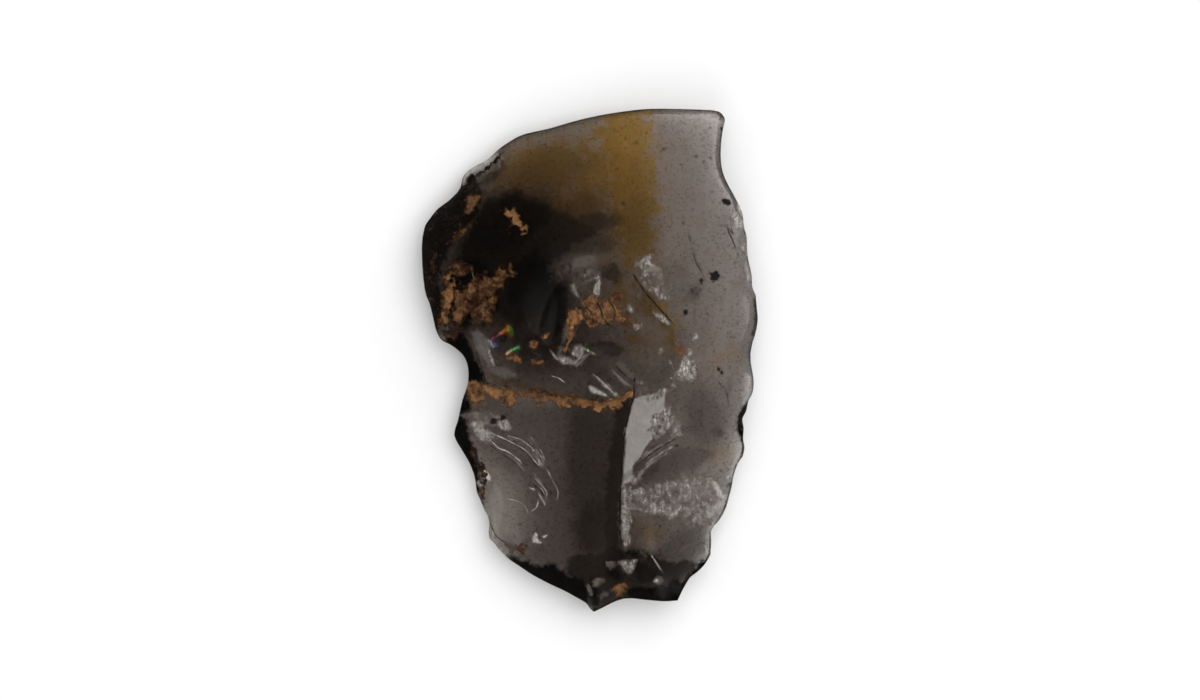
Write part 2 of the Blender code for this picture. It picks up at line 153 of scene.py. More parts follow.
@dataclass
class Bite:
    """A small bowl-shaped scar cut into the larger ones, that deep in the middle."""

    name: str
    centre: tuple
    heading: float
    half_length: float
    half_width: float
    depth: float


@dataclass
class Ripples:
    """Rings of a wave in the glass around the point of a blow, between two radii and two bearings."""

    centre: tuple
    inner: float
    outer: float
    spacing: float
    depth: float
    bearings: tuple


@dataclass
class Patch:
    """A place with its own finish: an ellipse. soft is how far its edge fades. tone is how light the
    dirt is there, or how crushed the frosted glass is, where little crushing is a smooth painted sheen."""

    centre: tuple
    half_length: float
    half_width: float
    heading: float = 0.0
    strength: float = 1.0
    soft: float = 0.2
    tone: float = 0.7


@dataclass
class Streak:
    """A place with its own finish along a line."""

    points: list
    half_width: float
    strength: float = 1.0
    soft: float = 0.12
    tone: float = 0.7


@dataclass
class Area:
    """A place with its own finish inside a closed line."""

    points: list
    strength: float = 1.0
    soft: float = 0.15
    tone: float = 0.7


def patches(*rows):
    """Patches, each from a row: the x and y of its centre, then its other values in their order."""
    return [Patch((x, y), *others) for x, y, *others in rows]


MARGINS = [
    Margin("distal edge", [
        (-4.62, 10.4), (-4, 10.82), (-3.3, 11.18), (-2, 11.49), (-1, 11.78), (0, 12.03), (1.2, 12.25),
        (2.8, 12.43), (4.5, 12.42), (6.15, 12.33), (6.52, 12.18),
    ], rim=0.75, steepness=2.4),
    Margin("distal corner", [
        (6.52, 12.18), (6.68, 11.9), (6.58, 11.4),
    ], rim=0.6, steepness=2),
    Margin("distal notch", [
        (6.58, 11.4), (6.5, 10.8), (6.48, 10), (6.58, 9.3), (6.82, 8.72), (7.15, 8.12), (7.42, 7.6),
    ], rim=0.7, steepness=2.2),
    Margin("upper right retouch", [
        (7.42, 7.6), (7.57, 7.2), (7.64, 6.6), (7.77, 6.1), (7.8, 5.4), (7.87, 4.9), (8.02, 4.2),
        (8.05, 3.65), (8.22, 3.2),
    ], rim=0.5, steepness=1.2),
    Margin("right belly", [
        (8.22, 3.2), (8.27, 2.6), (8.32, 2), (8.22, 1.35), (8.05, 0.8), (7.96, 0.3),
    ], rim=0.6, steepness=1.8),
    Margin("right retouch", [
        (7.96, 0.3), (7.99, -0.2), (8.08, -0.7), (8.12, -1.1), (8.07, -1.6), (7.85, -2.05),
    ], rim=0.55, steepness=1.3),
    Margin("right nick", [
        (7.85, -2.05), (7.74, -2.55), (7.56, -2.93), (7.62, -3.4), (7.59, -3.9), (7.66, -4.35),
        (7.58, -4.78),
    ], rim=0.7, steepness=1.6),
    Margin("lower right edge", [
        (7.58, -4.78), (7.35, -5.12), (7.14, -5.7), (7.03, -6.3), (6.9, -6.8), (6.74, -7.35), (6.45, -7.9),
        (6.15, -8.25), (6, -8.5),
    ], rim=0.5, steepness=1.3),
    Margin("lower right facet", [
        (6, -8.5), (6.01, -9.1), (5.97, -9.65),
    ], rim=0.6, steepness=1),
    Margin("proximal right edge", [
        (5.97, -9.65), (5.68, -10.12), (5.3, -10.5), (4.97, -10.76), (4.75, -11.1), (4.52, -11.5),
        (4.33, -11.87),
    ], rim=0.9, steepness=0.9),
    Margin("striking platform", [
        (4.33, -11.87), (3.6, -11.89), (2.9, -11.84), (2.1, -11.78),
    ], rim=1.7, steepness=0.85),
    Margin("platform lip", [
        (2.1, -11.78), (1.65, -11.83), (1.15, -12), (0.65, -12.25), (0.2, -12.47),
    ], rim=1.1, steepness=0.9),
    Margin("proximal spur", [
        (0.2, -12.47), (0.02, -12.32), (-0.18, -12.05), (-0.6, -11.8),
    ], rim=1, steepness=0.9),
    Margin("proximal left flank", [
        (-0.6, -11.8), (-1.25, -11.45), (-2, -11.1), (-2.8, -10.68), (-3.4, -10.3),
    ], rim=0.95, steepness=0.9),
    Margin("proximal left edge", [
        (-3.4, -10.3), (-4, -9.9), (-4.5, -9.42), (-4.75, -9.1), (-4.98, -8.88),
    ], rim=0.7, steepness=0.9),
    Margin("thin left edge", [
        (-4.98, -8.88), (-5.03, -8.55), (-5, -8.1), (-5.1, -7.72), (-5.26, -7.42), (-5.45, -6.95),
        (-5.62, -6.55), (-5.7, -6), (-5.8, -5.6), (-6, -5.1),
    ], rim=0.6, steepness=1),
    Margin("left barb", [
        (-6, -5.1), (-6.28, -4.62), (-6.6, -4.1), (-6.74, -3.75),
    ], rim=0.65, steepness=0.85),
    Margin("left waist", [
        (-6.74, -3.75), (-6.7, -3.45), (-6.55, -3), (-6.41, -2.35), (-6.3, -1.9), (-6.15, -1.5),
        (-6.04, -1.1),
    ], rim=0.95, steepness=0.9),
    Margin("waist notch", [
        (-6.04, -1.1), (-6.02, -0.6), (-6.1, -0.15), (-6.3, 0.25), (-6.66, 0.58), (-7, 0.8),
    ], rim=1.35, steepness=1),
    Margin("left flank", [
        (-7, 0.8), (-7.35, 0.98), (-7.6, 1.4), (-7.75, 2), (-7.92, 2.7), (-8.14, 3.3), (-8.24, 4),
        (-8.3, 4.7), (-8.32, 5.5), (-8.29, 6.1),
    ], rim=1.1, steepness=0.9),
    Margin("upper left flank", [
        (-8.29, 6.1), (-8.16, 6.66), (-7.9, 7.05), (-7.55, 7.48), (-7, 7.9), (-6.62, 8.28), (-6.42, 8.58),
    ], rim=0.8, steepness=0.9),
    Margin("thin lip", [
        (-6.42, 8.58), (-6.33, 9.05), (-6.1, 9.36), (-5.7, 9.64), (-5.3, 9.85), (-4.98, 10.05),
        (-4.62, 10.4),
    ], rim=0.3, steepness=2.4, ledge=0.38),
]

SCARS = [
    Scar("distal plain", (6.5, 6.5), 180, 1.95, climb=0.10, bow_along=0.020, bow_across=0.012),
    Scar("distal back slope", (-1.5, 11.6), 288, 1.75, climb=0.56, bow_along=-0.012),
    Scar("upper left slope", (-6.9, 8.0), 318, 2.0, climb=0.74, bow_along=-0.005, bow_across=0.012),
    Scar("left slope", (-8.3, 5.0), 0, 2.0, climb=0.86, bow_along=-0.01),
    Scar("core top", (-3.5, 4.8), 250, CORE_HEIGHT, climb=-0.06),
    Scar("waist facet", (-5.0, -1.2), 90, 3.30, climb=0.33, lean=-0.05, bow_along=0.10),
    Scar(
        "hinged scar", (-1.5, -2.8), 270, 2.75, climb=0.07, lean=0.17, bow_along=-0.001, bow_across=0.004,
        step=[(-7.5, -0.9), (-5.2, -1.15), (-3.5, -1.42), (-1.5, -1.78), (0.5, -2.05), (1.55, -1.92),
              (2.2, -1.5), (3.4, -0.7)],
    ),
    Scar("left spall", (-5.6, -7.2), 12, 1.50, climb=0.16, lean=0.03, bow_along=0.045, bow_across=0.040),
    Scar("dark bevel", (-1.4, -11.4), 62, 1.75, climb=0.90),
    Scar(
        "light strip", (1.70, -4.0), 0, RIDGE_HEIGHT, climb=-0.55, lean=0.02,
        bow_along=0.08, bow_across=0.04,
    ),
    Scar("middle right scar", (7.7, -2.7), 178, 1.40, climb=0.38, bow_across=0.06),
    Scar(
        "lens scar", (7.4, -4.6), 195, 1.20, climb=0.23, bow_along=0.011, bow_across=0.10,
        step=[(1.2, -6.3), (2.2, -5.6), (3.0, -4.9), (3.8, -4.35), (4.6, -3.95), (6.0, -3.5), (8.0, -3.1)],
        steepness=1.6,
    ),
    Scar("rough band", (6.7, -7.1), 180, 1.25, climb=0.38, bow_along=0.014, bow_across=0.06),
    Scar("proximal right scar", (5.9, -9.3), 176, 1.25, climb=0.53, lean=-0.03, bow_across=0.03),
]

BITES = [
    Bite("left leaf", (-6.60, 2.95), 80, 1.30, 0.78, 0.42),
    Bite("right leaf", (-4.95, 3.05), 84, 1.35, 0.98, 0.40),
    Bite("chip", (-3.70, 6.85), 310, 0.55, 0.30, 0.16),
    Bite("trough", (-1.60, 2.30), 78, 1.75, 0.62, 0.24),
    Bite("trough foot", (-1.05, 0.45), 90, 0.75, 0.80, 0.16),
    Bite("dirt hollow", (0.75, 2.35), 350, 1.15, 0.95, 0.28),
    Bite("dirt groove", (-0.85, 1.55), 80, 1.15, 0.28, 0.26),
    Bite("upper lobe", (0.85, 4.30), 330, 0.85, 0.55, 0.15),
    Bite("lower lobe", (1.15, 0.55), 0, 0.95, 0.50, 0.16),
    Bite("olive facet", (3.00, 2.10), 305, 1.55, 0.85, 0.24),
    Bite("crushed edge", (2.95, 4.25), 300, 1.10, 0.42, 0.22),
    Bite("feather scar", (4.80, -0.15), 280, 1.25, 0.62, 0.22),
    Bite("waist chip", (-5.30, -2.85), 30, 1.00, 0.70, 0.20),
    Bite("spall end", (-3.05, -7.35), 340, 0.75, 0.35, 0.14),
    Bite("round chip", (-2.50, -8.80), 20, 0.36, 0.30, 0.09),
    Bite("platform scar", (2.35, -10.65), 98, 1.15, 0.95, 0.42),
    Bite("corner scar", (3.95, -10.75), 125, 1.10, 0.75, 0.40),
    Bite("spur scar", (0.75, -11.0), 85, 0.95, 0.62, 0.45),
    Bite("upper right chip", (7.20, 6.60), 100, 1.00, 0.55, 0.22),
    Bite("right chip", (7.35, -1.10), 190, 0.85, 0.60, 0.20),
    Bite("left edge chip", (-5.55, -5.95), 80, 0.90, 0.34, 0.16),
]

SPALL_RIPPLES = Ripples((-5.5, -7.0), inner=2.35, outer=3.95, spacing=0.52, depth=0.075, bearings=(2, 112))
WAIST_LANCES = Ripples((3.0, -3.4), inner=1.9, outer=3.4, spacing=0.62, depth=0.06, bearings=(112, 158))
VENTRAL_RIPPLES = Ripples(
    PERCUSSION_POINT, inner=3.2, outer=24.0, spacing=1.9, depth=0.030, bearings=(20, 160)
)

BULB_SCAR = Scar("bulb scar", (2.2, -9.1), 100, 0.36, climb=0.0, bow_along=-0.25, bow_across=-0.55)

# Thin ridges left by the wave in the glass, raised in the mesh and painted white as a highlight, each a line,
# its half width and its strength
HACKLES_AND_GLINTS = [
    Streak([(-5.3, -3.45), (-4.9, -3.95), (-4.5, -4.35), (-4.1, -4.5), (-3.8, -4.7),
            (-3.45, -4.98)], 0.055),
    Streak([(-4.9, -3.6), (-4.3, -3.85), (-3.7, -4.15), (-3.3, -4.35), (-2.95, -4.65),
            (-2.7, -5)], 0.045, 0.9),
    Streak([(-2.8, -4.85), (-2.55, -5.15), (-2.35, -5.35)], 0.035, 0.7),
    Streak([(-4, -3.75), (-3.4, -3.92), (-3, -4.2), (-2.65, -4.55), (-2.45, -5), (-2.1, -5.4),
            (-1.9, -5.8)], 0.035, 0.8),
    Streak([(-2.9, -3.8), (-2.65, -4.15), (-2.4, -4.5), (-2.25, -4.85)], 0.035, 0.6),
    Streak([(-3.3, -4.05), (-2.9, -4.3), (-2.6, -4.75)], 0.03, 0.6),
    Streak([(-1.95, -5.75), (-1.7, -6.15), (-1.56, -6.5), (-1.62, -6.85)], 0.03, 0.6),
    Streak([(-2.65, -5.9), (-2.35, -6.2), (-2.12, -6.55), (-2.18, -6.95)], 0.045, 0.8),
    Streak([(-2.85, -6.35), (-2.58, -6.48), (-2.38, -6.8), (-2.25, -7.05)], 0.075),
    Streak([(-3.9, -4.95), (-3.5, -5.2), (-3.22, -5.5)], 0.04, 0.45),
    Streak([(-3.7, -5.5), (-3.4, -5.85), (-3.15, -6.1)], 0.035, 0.4),
    Streak([(-2.9, -5.4), (-2.6, -5.75), (-2.3, -6)], 0.03, 0.4),
    Streak([(-3.95, -6.9), (-3.65, -6.95), (-3.25, -7.2), (-3.1, -7.45)], 0.045, 0.7),
    Streak([(-2.85, -7.45), (-2.62, -7.25), (-2.55, -6.98)], 0.055, 0.7),
    Streak([(1.15, -0.55), (1.55, -0.95), (1.95, -1.25)], 0.025, 0.4),
    Streak([(-1.75, -0.82), (-1.5, -0.9), (-1.3, -1.05)], 0.05, 0.7),
    Streak([(-0.6, -0.3), (-0.25, 0.05), (-0.05, 0.3)], 0.03, 0.5),
    Streak([(-0.75, -0.15), (-0.42, 0.2), (-0.3, 0.45)], 0.03, 0.6),
    Streak([(-1.9, 0.45), (-1.6, 0.05), (-1.2, -0.18), (-0.8, -0.18), (-0.55, 0.05)], 0.07, 0.5),
    Streak([(3.05, -9.65), (3.25, -9.95), (3.5, -10.35)], 0.045, 0.7),
    Streak([(3.55, -4.2), (3.15, -4.45), (2.6, -4.85)], 0.04, 0.5),
    Streak([(4.15, -4.05), (3.7, -4.45), (3, -4.95)], 0.035, 0.5),
    Streak([(4.3, -9.6), (4.75, -9.25), (5.2, -9.1)], 0.035, 0.35),
    Streak([(-6.9, 4.55), (-6.55, 4.68), (-6.2, 4.7)], 0.03, 0.5),
    Streak([(-5.75, 4.35), (-5.7, 4.05)], 0.035, 0.5),
]

# Fine dark lines: cracks in the glass, and painted shade along sharp ridges and between the hackles
CRACKS_AND_SHADE_LINES = [
    Streak([(3.05, 2.95), (3.5, 2.45), (4.02, 1.88)], 0.05),
    Streak([(2.15, 4.2), (2.5, 3.65), (2.95, 3.05)], 0.06, 0.6),
    Streak([(2.18, -0.95), (2.16, -1.7), (1.97, -2.4), (1.72, -3.6), (1.58, -5.2), (1.5, -6.6), (1.48, -8),
            (1.54, -9.2)], 0.06, 0.7),
    Streak([(-5.62, 0.4), (-5.38, -0.3), (-5.16, -1)], 0.05, 0.6),
    Streak([(6.8, 6.5), (7.12, 5.75), (7.32, 5.2)], 0.05, 0.6),
    Streak([(7.05, 7.4), (6.95, 6.8), (7.1, 6.2)], 0.04, 0.5),
    Streak([(4.9, 6.1), (5.08, 5.5), (5.2, 4.9), (5.48, 4.4)], 0.045, 0.5),
    Streak([(-4.9, -8.2), (-4.65, -8.75), (-4.05, -9.15)], 0.03, 0.7),
    Streak([(2.25, -5.25), (2.75, -4.8), (3.3, -4.4), (4.2, -3.9)], 0.05, 0.55),
    Streak([(2.2, -5.75), (2.7, -5.25), (3.4, -4.75), (4.1, -4.35)], 0.045, 0.45),
    Streak([(-2.72, -6.2), (-2.42, -6.42), (-2.24, -6.72)], 0.04, 0.75),
    Streak([(-5, -4.15), (-4.4, -4.62), (-3.8, -4.98), (-3.4, -5.35)], 0.045, 0.45),
    Streak([(-4.2, -3.95), (-3.5, -4.3), (-3, -4.75), (-2.6, -5.25)], 0.04, 0.45),
    Streak([(-3.1, -5.2), (-2.55, -5.75), (-2.15, -6.25)], 0.035, 0.4),
    Streak([(0.3, -0.7), (0.75, -1.1), (1.25, -1.6)], 0.05, 0.45),
    Streak([(1.3, -0.3), (1.75, -0.75), (2.1, -1)], 0.045, 0.5),
    Streak([(0.1, -1.2), (0.6, -1.52), (1, -1.78)], 0.04, 0.4),
    Streak([(0.35, 2.8), (0.55, 2.45), (0.62, 2.1)], 0.06, 0.7),
    Streak([(0.75, 1.95), (0.95, 1.7), (1.1, 1.62)], 0.05, 0.7),
    Streak([(1.05, 2.75), (1.25, 2.35), (1.2, 2.05)], 0.045, 0.6),
    Streak([(-0.15, 2.55), (0.1, 2.25), (0.15, 1.85)], 0.045, 0.6),
    Streak([(-1.15, 0.3), (-0.9, 0.85), (-0.55, 1.45)], 0.06, 0.6),
    Streak([(-6.95, 2.15), (-6.75, 2.8), (-6.3, 3.6)], 0.05, 0.5),
    Streak([(4.55, 0.05), (4.85, -0.35), (5.1, -0.75)], 0.03, 0.5),
    Streak([(4.8, 0.15), (5.05, -0.2), (5.3, -0.5)], 0.03, 0.45),
    Streak([(6.35, -1.1), (6.75, -1.6), (6.85, -2.05)], 0.05, 0.45),
    Streak([(3.3, -10.4), (3.05, -9.9), (3.35, -9.55)], 0.035, 0.5),
    Streak([(1.35, -10.1), (1.75, -10.65), (2.3, -10.95)], 0.04, 0.6),
]

# Dirt and the dark weathered skin on the left, with how light it is
CORTEX = 0.0
RUST = 0.35
DIRT = [
    Area([(-8.6, 0.6), (-7.3, 0.9), (-7.35, 2.1), (-7.25, 4.2), (-6.9, 5), (-6.3, 6.2), (-5.4, 7.2),
          (-5.2, 8.3), (-5.6, 9.3), (-6.6, 8.9), (-8.8, 7), (-8.9, 3)], 0.62, 0.35, CORTEX),
    Streak([(-6.35, 8.5), (-6, 8.8), (-5.88, 9.1), (-5.5, 9.2), (-5.1, 9.52), (-4.75, 9.85),
            (-4.4, 10.2)], 0.1, 1, 0.08, CORTEX),
    Patch((-6.75, 1.45), 0.5, 0.42, 340, 0.9, 0.2, 0.18),
    Streak([(-6, -1.32), (-4.6, -1.52), (-3.5, -1.66), (-1.5, -1.98), (0.5, -2.2), (1.4, -2.06),
            (2, -1.65)], 0.22, 1, 0.12, 0.95),
    Streak([(-5.6, -1.12), (-3.5, -1.42), (-1.5, -1.76), (0.5, -2.02)], 0.07, 0.9, 0.12, 0.25),
    *patches(
        (-5.6, -1.7, 0.55, 0.4, 350, 1, 0.2, 0.8), (-5.45, -2.2, 0.45, 0.28, 20, 0.6, 0.2, 0.55),
        (-3.95, -1.98, 0.42, 0.4, 80, 0.85, 0.2, 0.75), (-4.5, -2.55, 0.95, 0.35, 10, 0.35, 0.2, 0.45),
        (-7, 3.05, 1.05, 0.34, 84, 1, 0.2, 0.95), (-6.35, 2.75, 0.95, 0.5, 84, 0.85, 0.2, 0.62),
        (-5.3, 3, 1.25, 0.8, 84, 0.75, 0.2, 0.52), (-4.45, 3.9, 0.8, 0.42, 52, 0.8, 0.2, 0.66),
        (-5.1, 2.2, 0.45, 0.35, 0, 0.7, 0.2, 0.6),
    ),
    Area([(-4.3, 7.3), (-3.75, 7.35), (-3.3, 6.85), (-3.12, 6.3), (-3.32, 6.22), (-3.75, 6.62),
          (-4.2, 7.05)], 1, 0.14, 0.95),
    *patches(
        (-3.85, 6.5, 0.22, 0.25, 0, 0.5, 0.2, 0.4), (-5.85, 7.75, 0.55, 0.34, 62, 0.92, 0.2, 0.8),
        (-5.25, 7.95, 0.25, 0.12, 90, 0.6), (-6.4, 6.15, 0.6, 0.24, 35, 0.8, 0.2, 0.65),
        (-5.7, 6.85, 0.14, 0.1, 0, 0.6, 0.2, 0.6), (-6.85, 5.8, 0.3, 0.2, 0, 0.75, 0.2, 0.55),
        (-7.6, 7.35, 0.45, 0.2, 40, 0.72, 0.2, 0.4), (-7.8, 4.6, 0.9, 0.25, 95, 0.72, 0.2, 0.32),
        (-6.4, 4.4, 0.6, 0.5, 0, 0.7, 0.2, 0.3), (0.75, 2.35, 0.95, 0.62, 350, 0.95, 0.2, 0.62),
        (-0.05, 2.85, 0.38, 0.3, 40, 0.9, 0.2, 0.72), (1.3, 3.05, 0.4, 0.25, 20, 0.8, 0.2, 0.45),
        (0.15, 1.85, 0.35, 0.3, 40, 0.8, 0.2, 0.4), (2.15, 1.75, 0.35, 0.22, 60, 0.6, 0.2, 0.35),
    ),
    Area([(-1.05, 2.55), (-0.75, 2.7), (-0.45, 2.5), (-0.42, 2.05), (-0.75, 1.5), (-0.85, 0.8),
          (-1.15, 0.4), (-1.3, 0.45), (-1.1, 1.2)], 1, 0.12, 0.9),
    Streak([(-4, 0.12), (-3.4, 0.02), (-2.9, 0.05), (-2.35, -0.15)], 0.13, 0.85),
    *patches(
        (-2.55, 0.82, 0.42, 0.22, 42, 0.9, 0.2, 0.78), (-3.2, 1.45, 0.4, 0.25, 10, 0.35, 0.2, 0.45),
        (4.35, 0.6, 0.36, 0.42, 60, 0.7), (4.55, 1.35, 0.3, 0.16, 60, 0.5, 0.2, 0.6),
        (3.3, 2.3, 0.5, 0.1, 310, 0.5, 0.2, 0.35), (1.55, -11.3, 0.34, 0.34, 20, 0.9, 0.2, 0.6),
        (0.55, -11.3, 0.2, 0.4, 0, 0.4, 0.2, 0.4), (6.45, 11.98, 0.28, 0.18, 80, 0.75, 0.2, 0.62),
        (-3.35, -9.32, 0.4, 0.22, 40, 0.9, 0.2, RUST), (-4.15, -9.2, 0.45, 0.14, 330, 0.7, 0.2, 0.3),
        (-3.05, -8.35, 0.4, 0.3, 0, 0.35, 0.2, RUST),
    ),
    Streak([(-5.75, -4.45), (-5.55, -5), (-5.4, -5.4)], 0.14, 0.85, 0.12, 0.1),
    Streak([(-5.28, -5.75), (-5.2, -6.3), (-5.38, -6.75)], 0.13, 1, 0.12, 0.16),
    *patches(
        (6.45, -5.6, 0.45, 0.16, 80, 0.3, 0.2, 0.5), (0.6, -10, 0.25, 0.14, 30, 0.5, 0.2, 0.3),
    ),
]

# Crushed white glass, and painted highlights and sheen where facets glint or look light, with how crushed it
# is
FROST_AND_HIGHLIGHTS = [
    Area([(-0.1, -1.3), (0.08, -1.28), (0.85, -1.7), (0.95, -1.8), (0.1, -1.6)], 0.6, 0.12, 0.25),
    Area([(0.22, -0.78), (0.42, -0.8), (1, -1.25), (1.42, -1.78), (1.22, -1.76),
          (0.75, -1.3)], 0.56, 0.12, 0.25),
    Area([(1.05, -0.55), (1.22, -0.6), (1.95, -1.2), (1.75, -1.28)], 0.3, 0.14, 0.3),
    Area([(1.25, -0.2), (1.55, -0.05), (2.2, -0.75), (2.15, -0.95)], 0.15, 0.2, 0.3),
    Area([(2.18, -1), (2.6, -0.95), (2.95, -1.45), (2.35, -1.85), (2.2, -1.8)], 0.2, 0.25, 0.5),
    Patch((-1.15, 1.3), 1.1, 0.14, 72, 0.22, 0.2, 0.2),
    Area([(-5.95, -3.05), (-5.3, -3), (-4.95, -3.6), (-4.85, -4), (-5.45, -4),
          (-5.75, -3.5)], 0.7, 0.35, 0.5),
    *patches(
        (-4.2, -3.25, 0.36, 0.22, 350, 0.7), (-5.55, -2.68, 0.5, 0.16, 10, 0.4),
        (-4.95, -2.95, 0.7, 0.35, 350, 0.28),
    ),
    Area([(2.15, -1.9), (2.6, -1.75), (3.2, -1.6), (3.65, -1.35), (3.75, -1.7), (3.65, -2.4), (3.6, -3),
          (3.1, -3.8), (2.7, -4.4), (2.15, -5.2), (2.05, -6), (1.6, -6.2), (1.66, -5.2),
          (1.8, -3.2)], 0.4, 0.1, 0.12),
    *patches(
        (3.5, -3.05, 0.85, 0.5, 60, 0.6, 0.4, 0.85), (4.25, -3.55, 0.4, 0.3, 60, 0.45, 0.3, 0.85),
        (3.3, -1.7, 0.7, 0.2, 25, 0.46, 0.25, 0.6), (4.15, -3.25, 0.45, 0.3, 40, 0.22, 0.4, 0.3),
    ),
    Streak([(2.15, -6.05), (2.4, -5.6), (2.95, -5.05), (3.6, -4.6), (4.1, -4.25)], 0.13, 0.52, 0.16),
    Streak([(2.6, -4.75), (3.1, -4.45), (3.7, -4.1), (4.2, -3.85)], 0.07, 0.4, 0.16, 0.6),
    Area([(1.55, -6.1), (2.1, -6.2), (2.15, -7.2), (2, -8.2), (1.95, -9), (1.7, -9.25),
          (1.55, -8.6)], 0.46, 0.12, 0.75),
    Patch((1.72, -7.9), 0.85, 0.18, 92, 0.56, 0.2, 0.5),
    Area([(2, -6.5), (2.9, -6.3), (3.8, -5.95), (5, -5.6), (6.2, -5.9), (6.8, -6.6), (6.3, -7.9),
          (5.4, -8.4), (4.4, -7.9), (3.4, -7.9), (2.3, -7.4)], 0.36, 0.9, 0.8),
    *patches(
        (2.35, -6.5, 0.26, 0.2, 30, 0.55, 0.2, 0.6), (3.25, -7.3, 0.28, 0.14, 340, 0.65, 0.2, 0.5),
        (4.25, -7.5, 0.34, 0.14, 40, 0.65, 0.2, 0.5), (4.2, -6.12, 0.25, 0.14, 20, 0.5, 0.2, 0.5),
        (2.2, -7.2, 0.2, 0.22, 0, 0.45), (3.45, -6.4, 0.3, 0.12, 300, 0.5, 0.2, 0.5),
        (5.1, -6.45, 0.25, 0.14, 40, 0.5, 0.2, 0.5), (5.6, -7.55, 0.45, 0.16, 20, 0.5, 0.2, 0.6),
        (6.35, -6.45, 0.55, 0.16, 300, 0.7, 0.2, 0.3), (6.25, -7.35, 0.6, 0.28, 50, 0.45, 0.3, 0.3),
        (6.2, -8, 0.35, 0.08, 45, 0.45), (6.85, -5.85, 0.14, 0.1, 0, 0.7),
        (5.8, -9.35, 0.35, 0.12, 80, 0.4), (2.7, 4.85, 0.34, 0.2, 30, 0.75, 0.2, 0.8),
        (3.15, 4.4, 0.4, 0.24, 320, 0.65, 0.25, 0.8), (3, 4.05, 0.85, 0.55, 305, 0.42, 0.5, 0.9),
        (3.55, 3.45, 0.6, 0.4, 320, 0.45, 0.5, 0.9), (4.2, 3.7, 1, 0.5, 290, 0.18, 0.7, 0.5),
        (2.2, 3.4, 0.7, 0.4, 300, 0.16, 0.5, 0.9), (-5.25, 0.55, 1.1, 0.42, 112, 0.3, 0.4, 0.4),
        (-4.3, -0.55, 0.7, 0.35, 350, 0.2, 0.4, 0.3), (2.9, 1.5, 1, 0.55, 320, 0.12, 0.4, 0.3),
        (3.1, 0.2, 0.9, 0.7, 0, 0.11, 0.6, 0.35), (-0.3, 4.75, 1.1, 0.45, 10, 0.16, 0.6, 0.1),
        (6.1, -8.9, 0.5, 0.3, 80, 0.2, 0.3, 0.2),
    ),
    Streak([(3.15, 2.35), (3.45, 2.15), (3.85, 1.8)], 0.1, 0.75, 0.1),
    *patches(
        (4.85, -0.45, 0.62, 0.4, 275, 0.85, 0.35, 0.9), (4.6, -0.75, 0.42, 0.32, 20, 0.8, 0.35, 0.9),
        (4.95, 0.35, 0.2, 0.14, 60, 0.7, 0.15), (4, -0.25, 0.26, 0.1, 300, 0.55, 0.12),
        (3.5, 0.42, 0.18, 0.12, 60, 0.45), (4.6, 1.1, 0.5, 0.25, 280, 0.25, 0.3),
        (2.3, 1.68, 0.18, 0.15, 30, 0.85, 0.14), (1.95, 2.5, 0.16, 0.16, 0, 0.4),
        (0.38, 3.6, 0.42, 0.14, 80, 0.7, 0.15), (0.4, 4.08, 0.16, 0.11, 80, 0.6, 0.15),
        (-0.1, 4.2, 0.5, 0.4, 40, 0.25, 0.5), (-0.62, 3.3, 0.42, 0.13, 300, 0.36, 0.22),
        (-0.45, 3.55, 0.6, 0.4, 300, 0.14, 0.4, 0.4), (-0.95, 1.05, 0.75, 0.1, 70, 0.35),
        (-1.1, 4.5, 0.6, 0.3, 40, 0.15, 0.4), (-0.55, 0.4, 0.3, 0.42, 330, 0.55, 0.25),
        (-1, -0.05, 0.6, 0.2, 350, 0.45), (0.9, 1.12, 0.14, 0.08, 20, 0.45),
    ),
    Area([(-2.66, -8.5), (-2.55, -8.56), (-2.6, -8.74), (-2.5, -8.88), (-2.3, -8.92), (-2.34, -9.06),
          (-2.6, -9.1), (-2.8, -8.98), (-2.84, -8.72)], 0.8, 0.1, 0.35),
    *patches(
        (-2.25, -8.7, 0.1, 0.07, 20, 0.9, 0.07, 0.2), (-4.6, -7.5, 1.6, 0.5, 95, 0.23, 0.8, 0.1),
    ),
    Area([(1.42, -9.92), (2.35, -9.8), (2.2, -10), (2.02, -10.5), (1.7, -10.4)], 0.62, 0.12),
    *patches(
        (1, -10.05, 0.14, 0.12, 0, 0.4), (3.35, -10.85, 0.18, 0.12, 0, 0.55),
        (-4.35, -9.3, 0.3, 0.12, 320, 0.5), (-4.8, -8.6, 0.42, 0.09, 300, 0.7, 0.1),
        (-3.62, -9.58, 0.14, 0.1, 0, 0.65, 0.1), (-5.14, -5.7, 0.34, 0.11, 305, 1, 0.08, 0.2),
        (-5.45, -6.15, 0.16, 0.14, 0, 0.55, 0.1), (7.3, 6.95, 0.6, 0.18, 290, 0.7),
        (7.55, 5.85, 0.5, 0.12, 285, 0.5), (7.45, 7.45, 0.25, 0.12, 290, 0.5),
        (7.78, 4.3, 0.42, 0.1, 280, 0.6, 0.12), (7, 7.1, 0.35, 0.05, 280, 0.35, 0.08),
    ),
    Streak([(-6.3, 8.85), (-6.1, 9.22), (-5.7, 9.45), (-5.25, 9.75), (-4.85, 10.02)], 0.15, 0.45, 0.15),
    *patches(
        (5.15, 1.1, 0.16, 0.1, 60, 0.6), (4.1, -1.25, 0.12, 0.08, 0, 0.5),
        (0.75, -11.6, 0.2, 0.14, 30, 0.4), (0.4, -10.95, 0.22, 0.14, 30, 0.3),
    ),
    Streak([(-0.1, -11.15), (0.05, -11.55)], 0.05, 0.4),
]

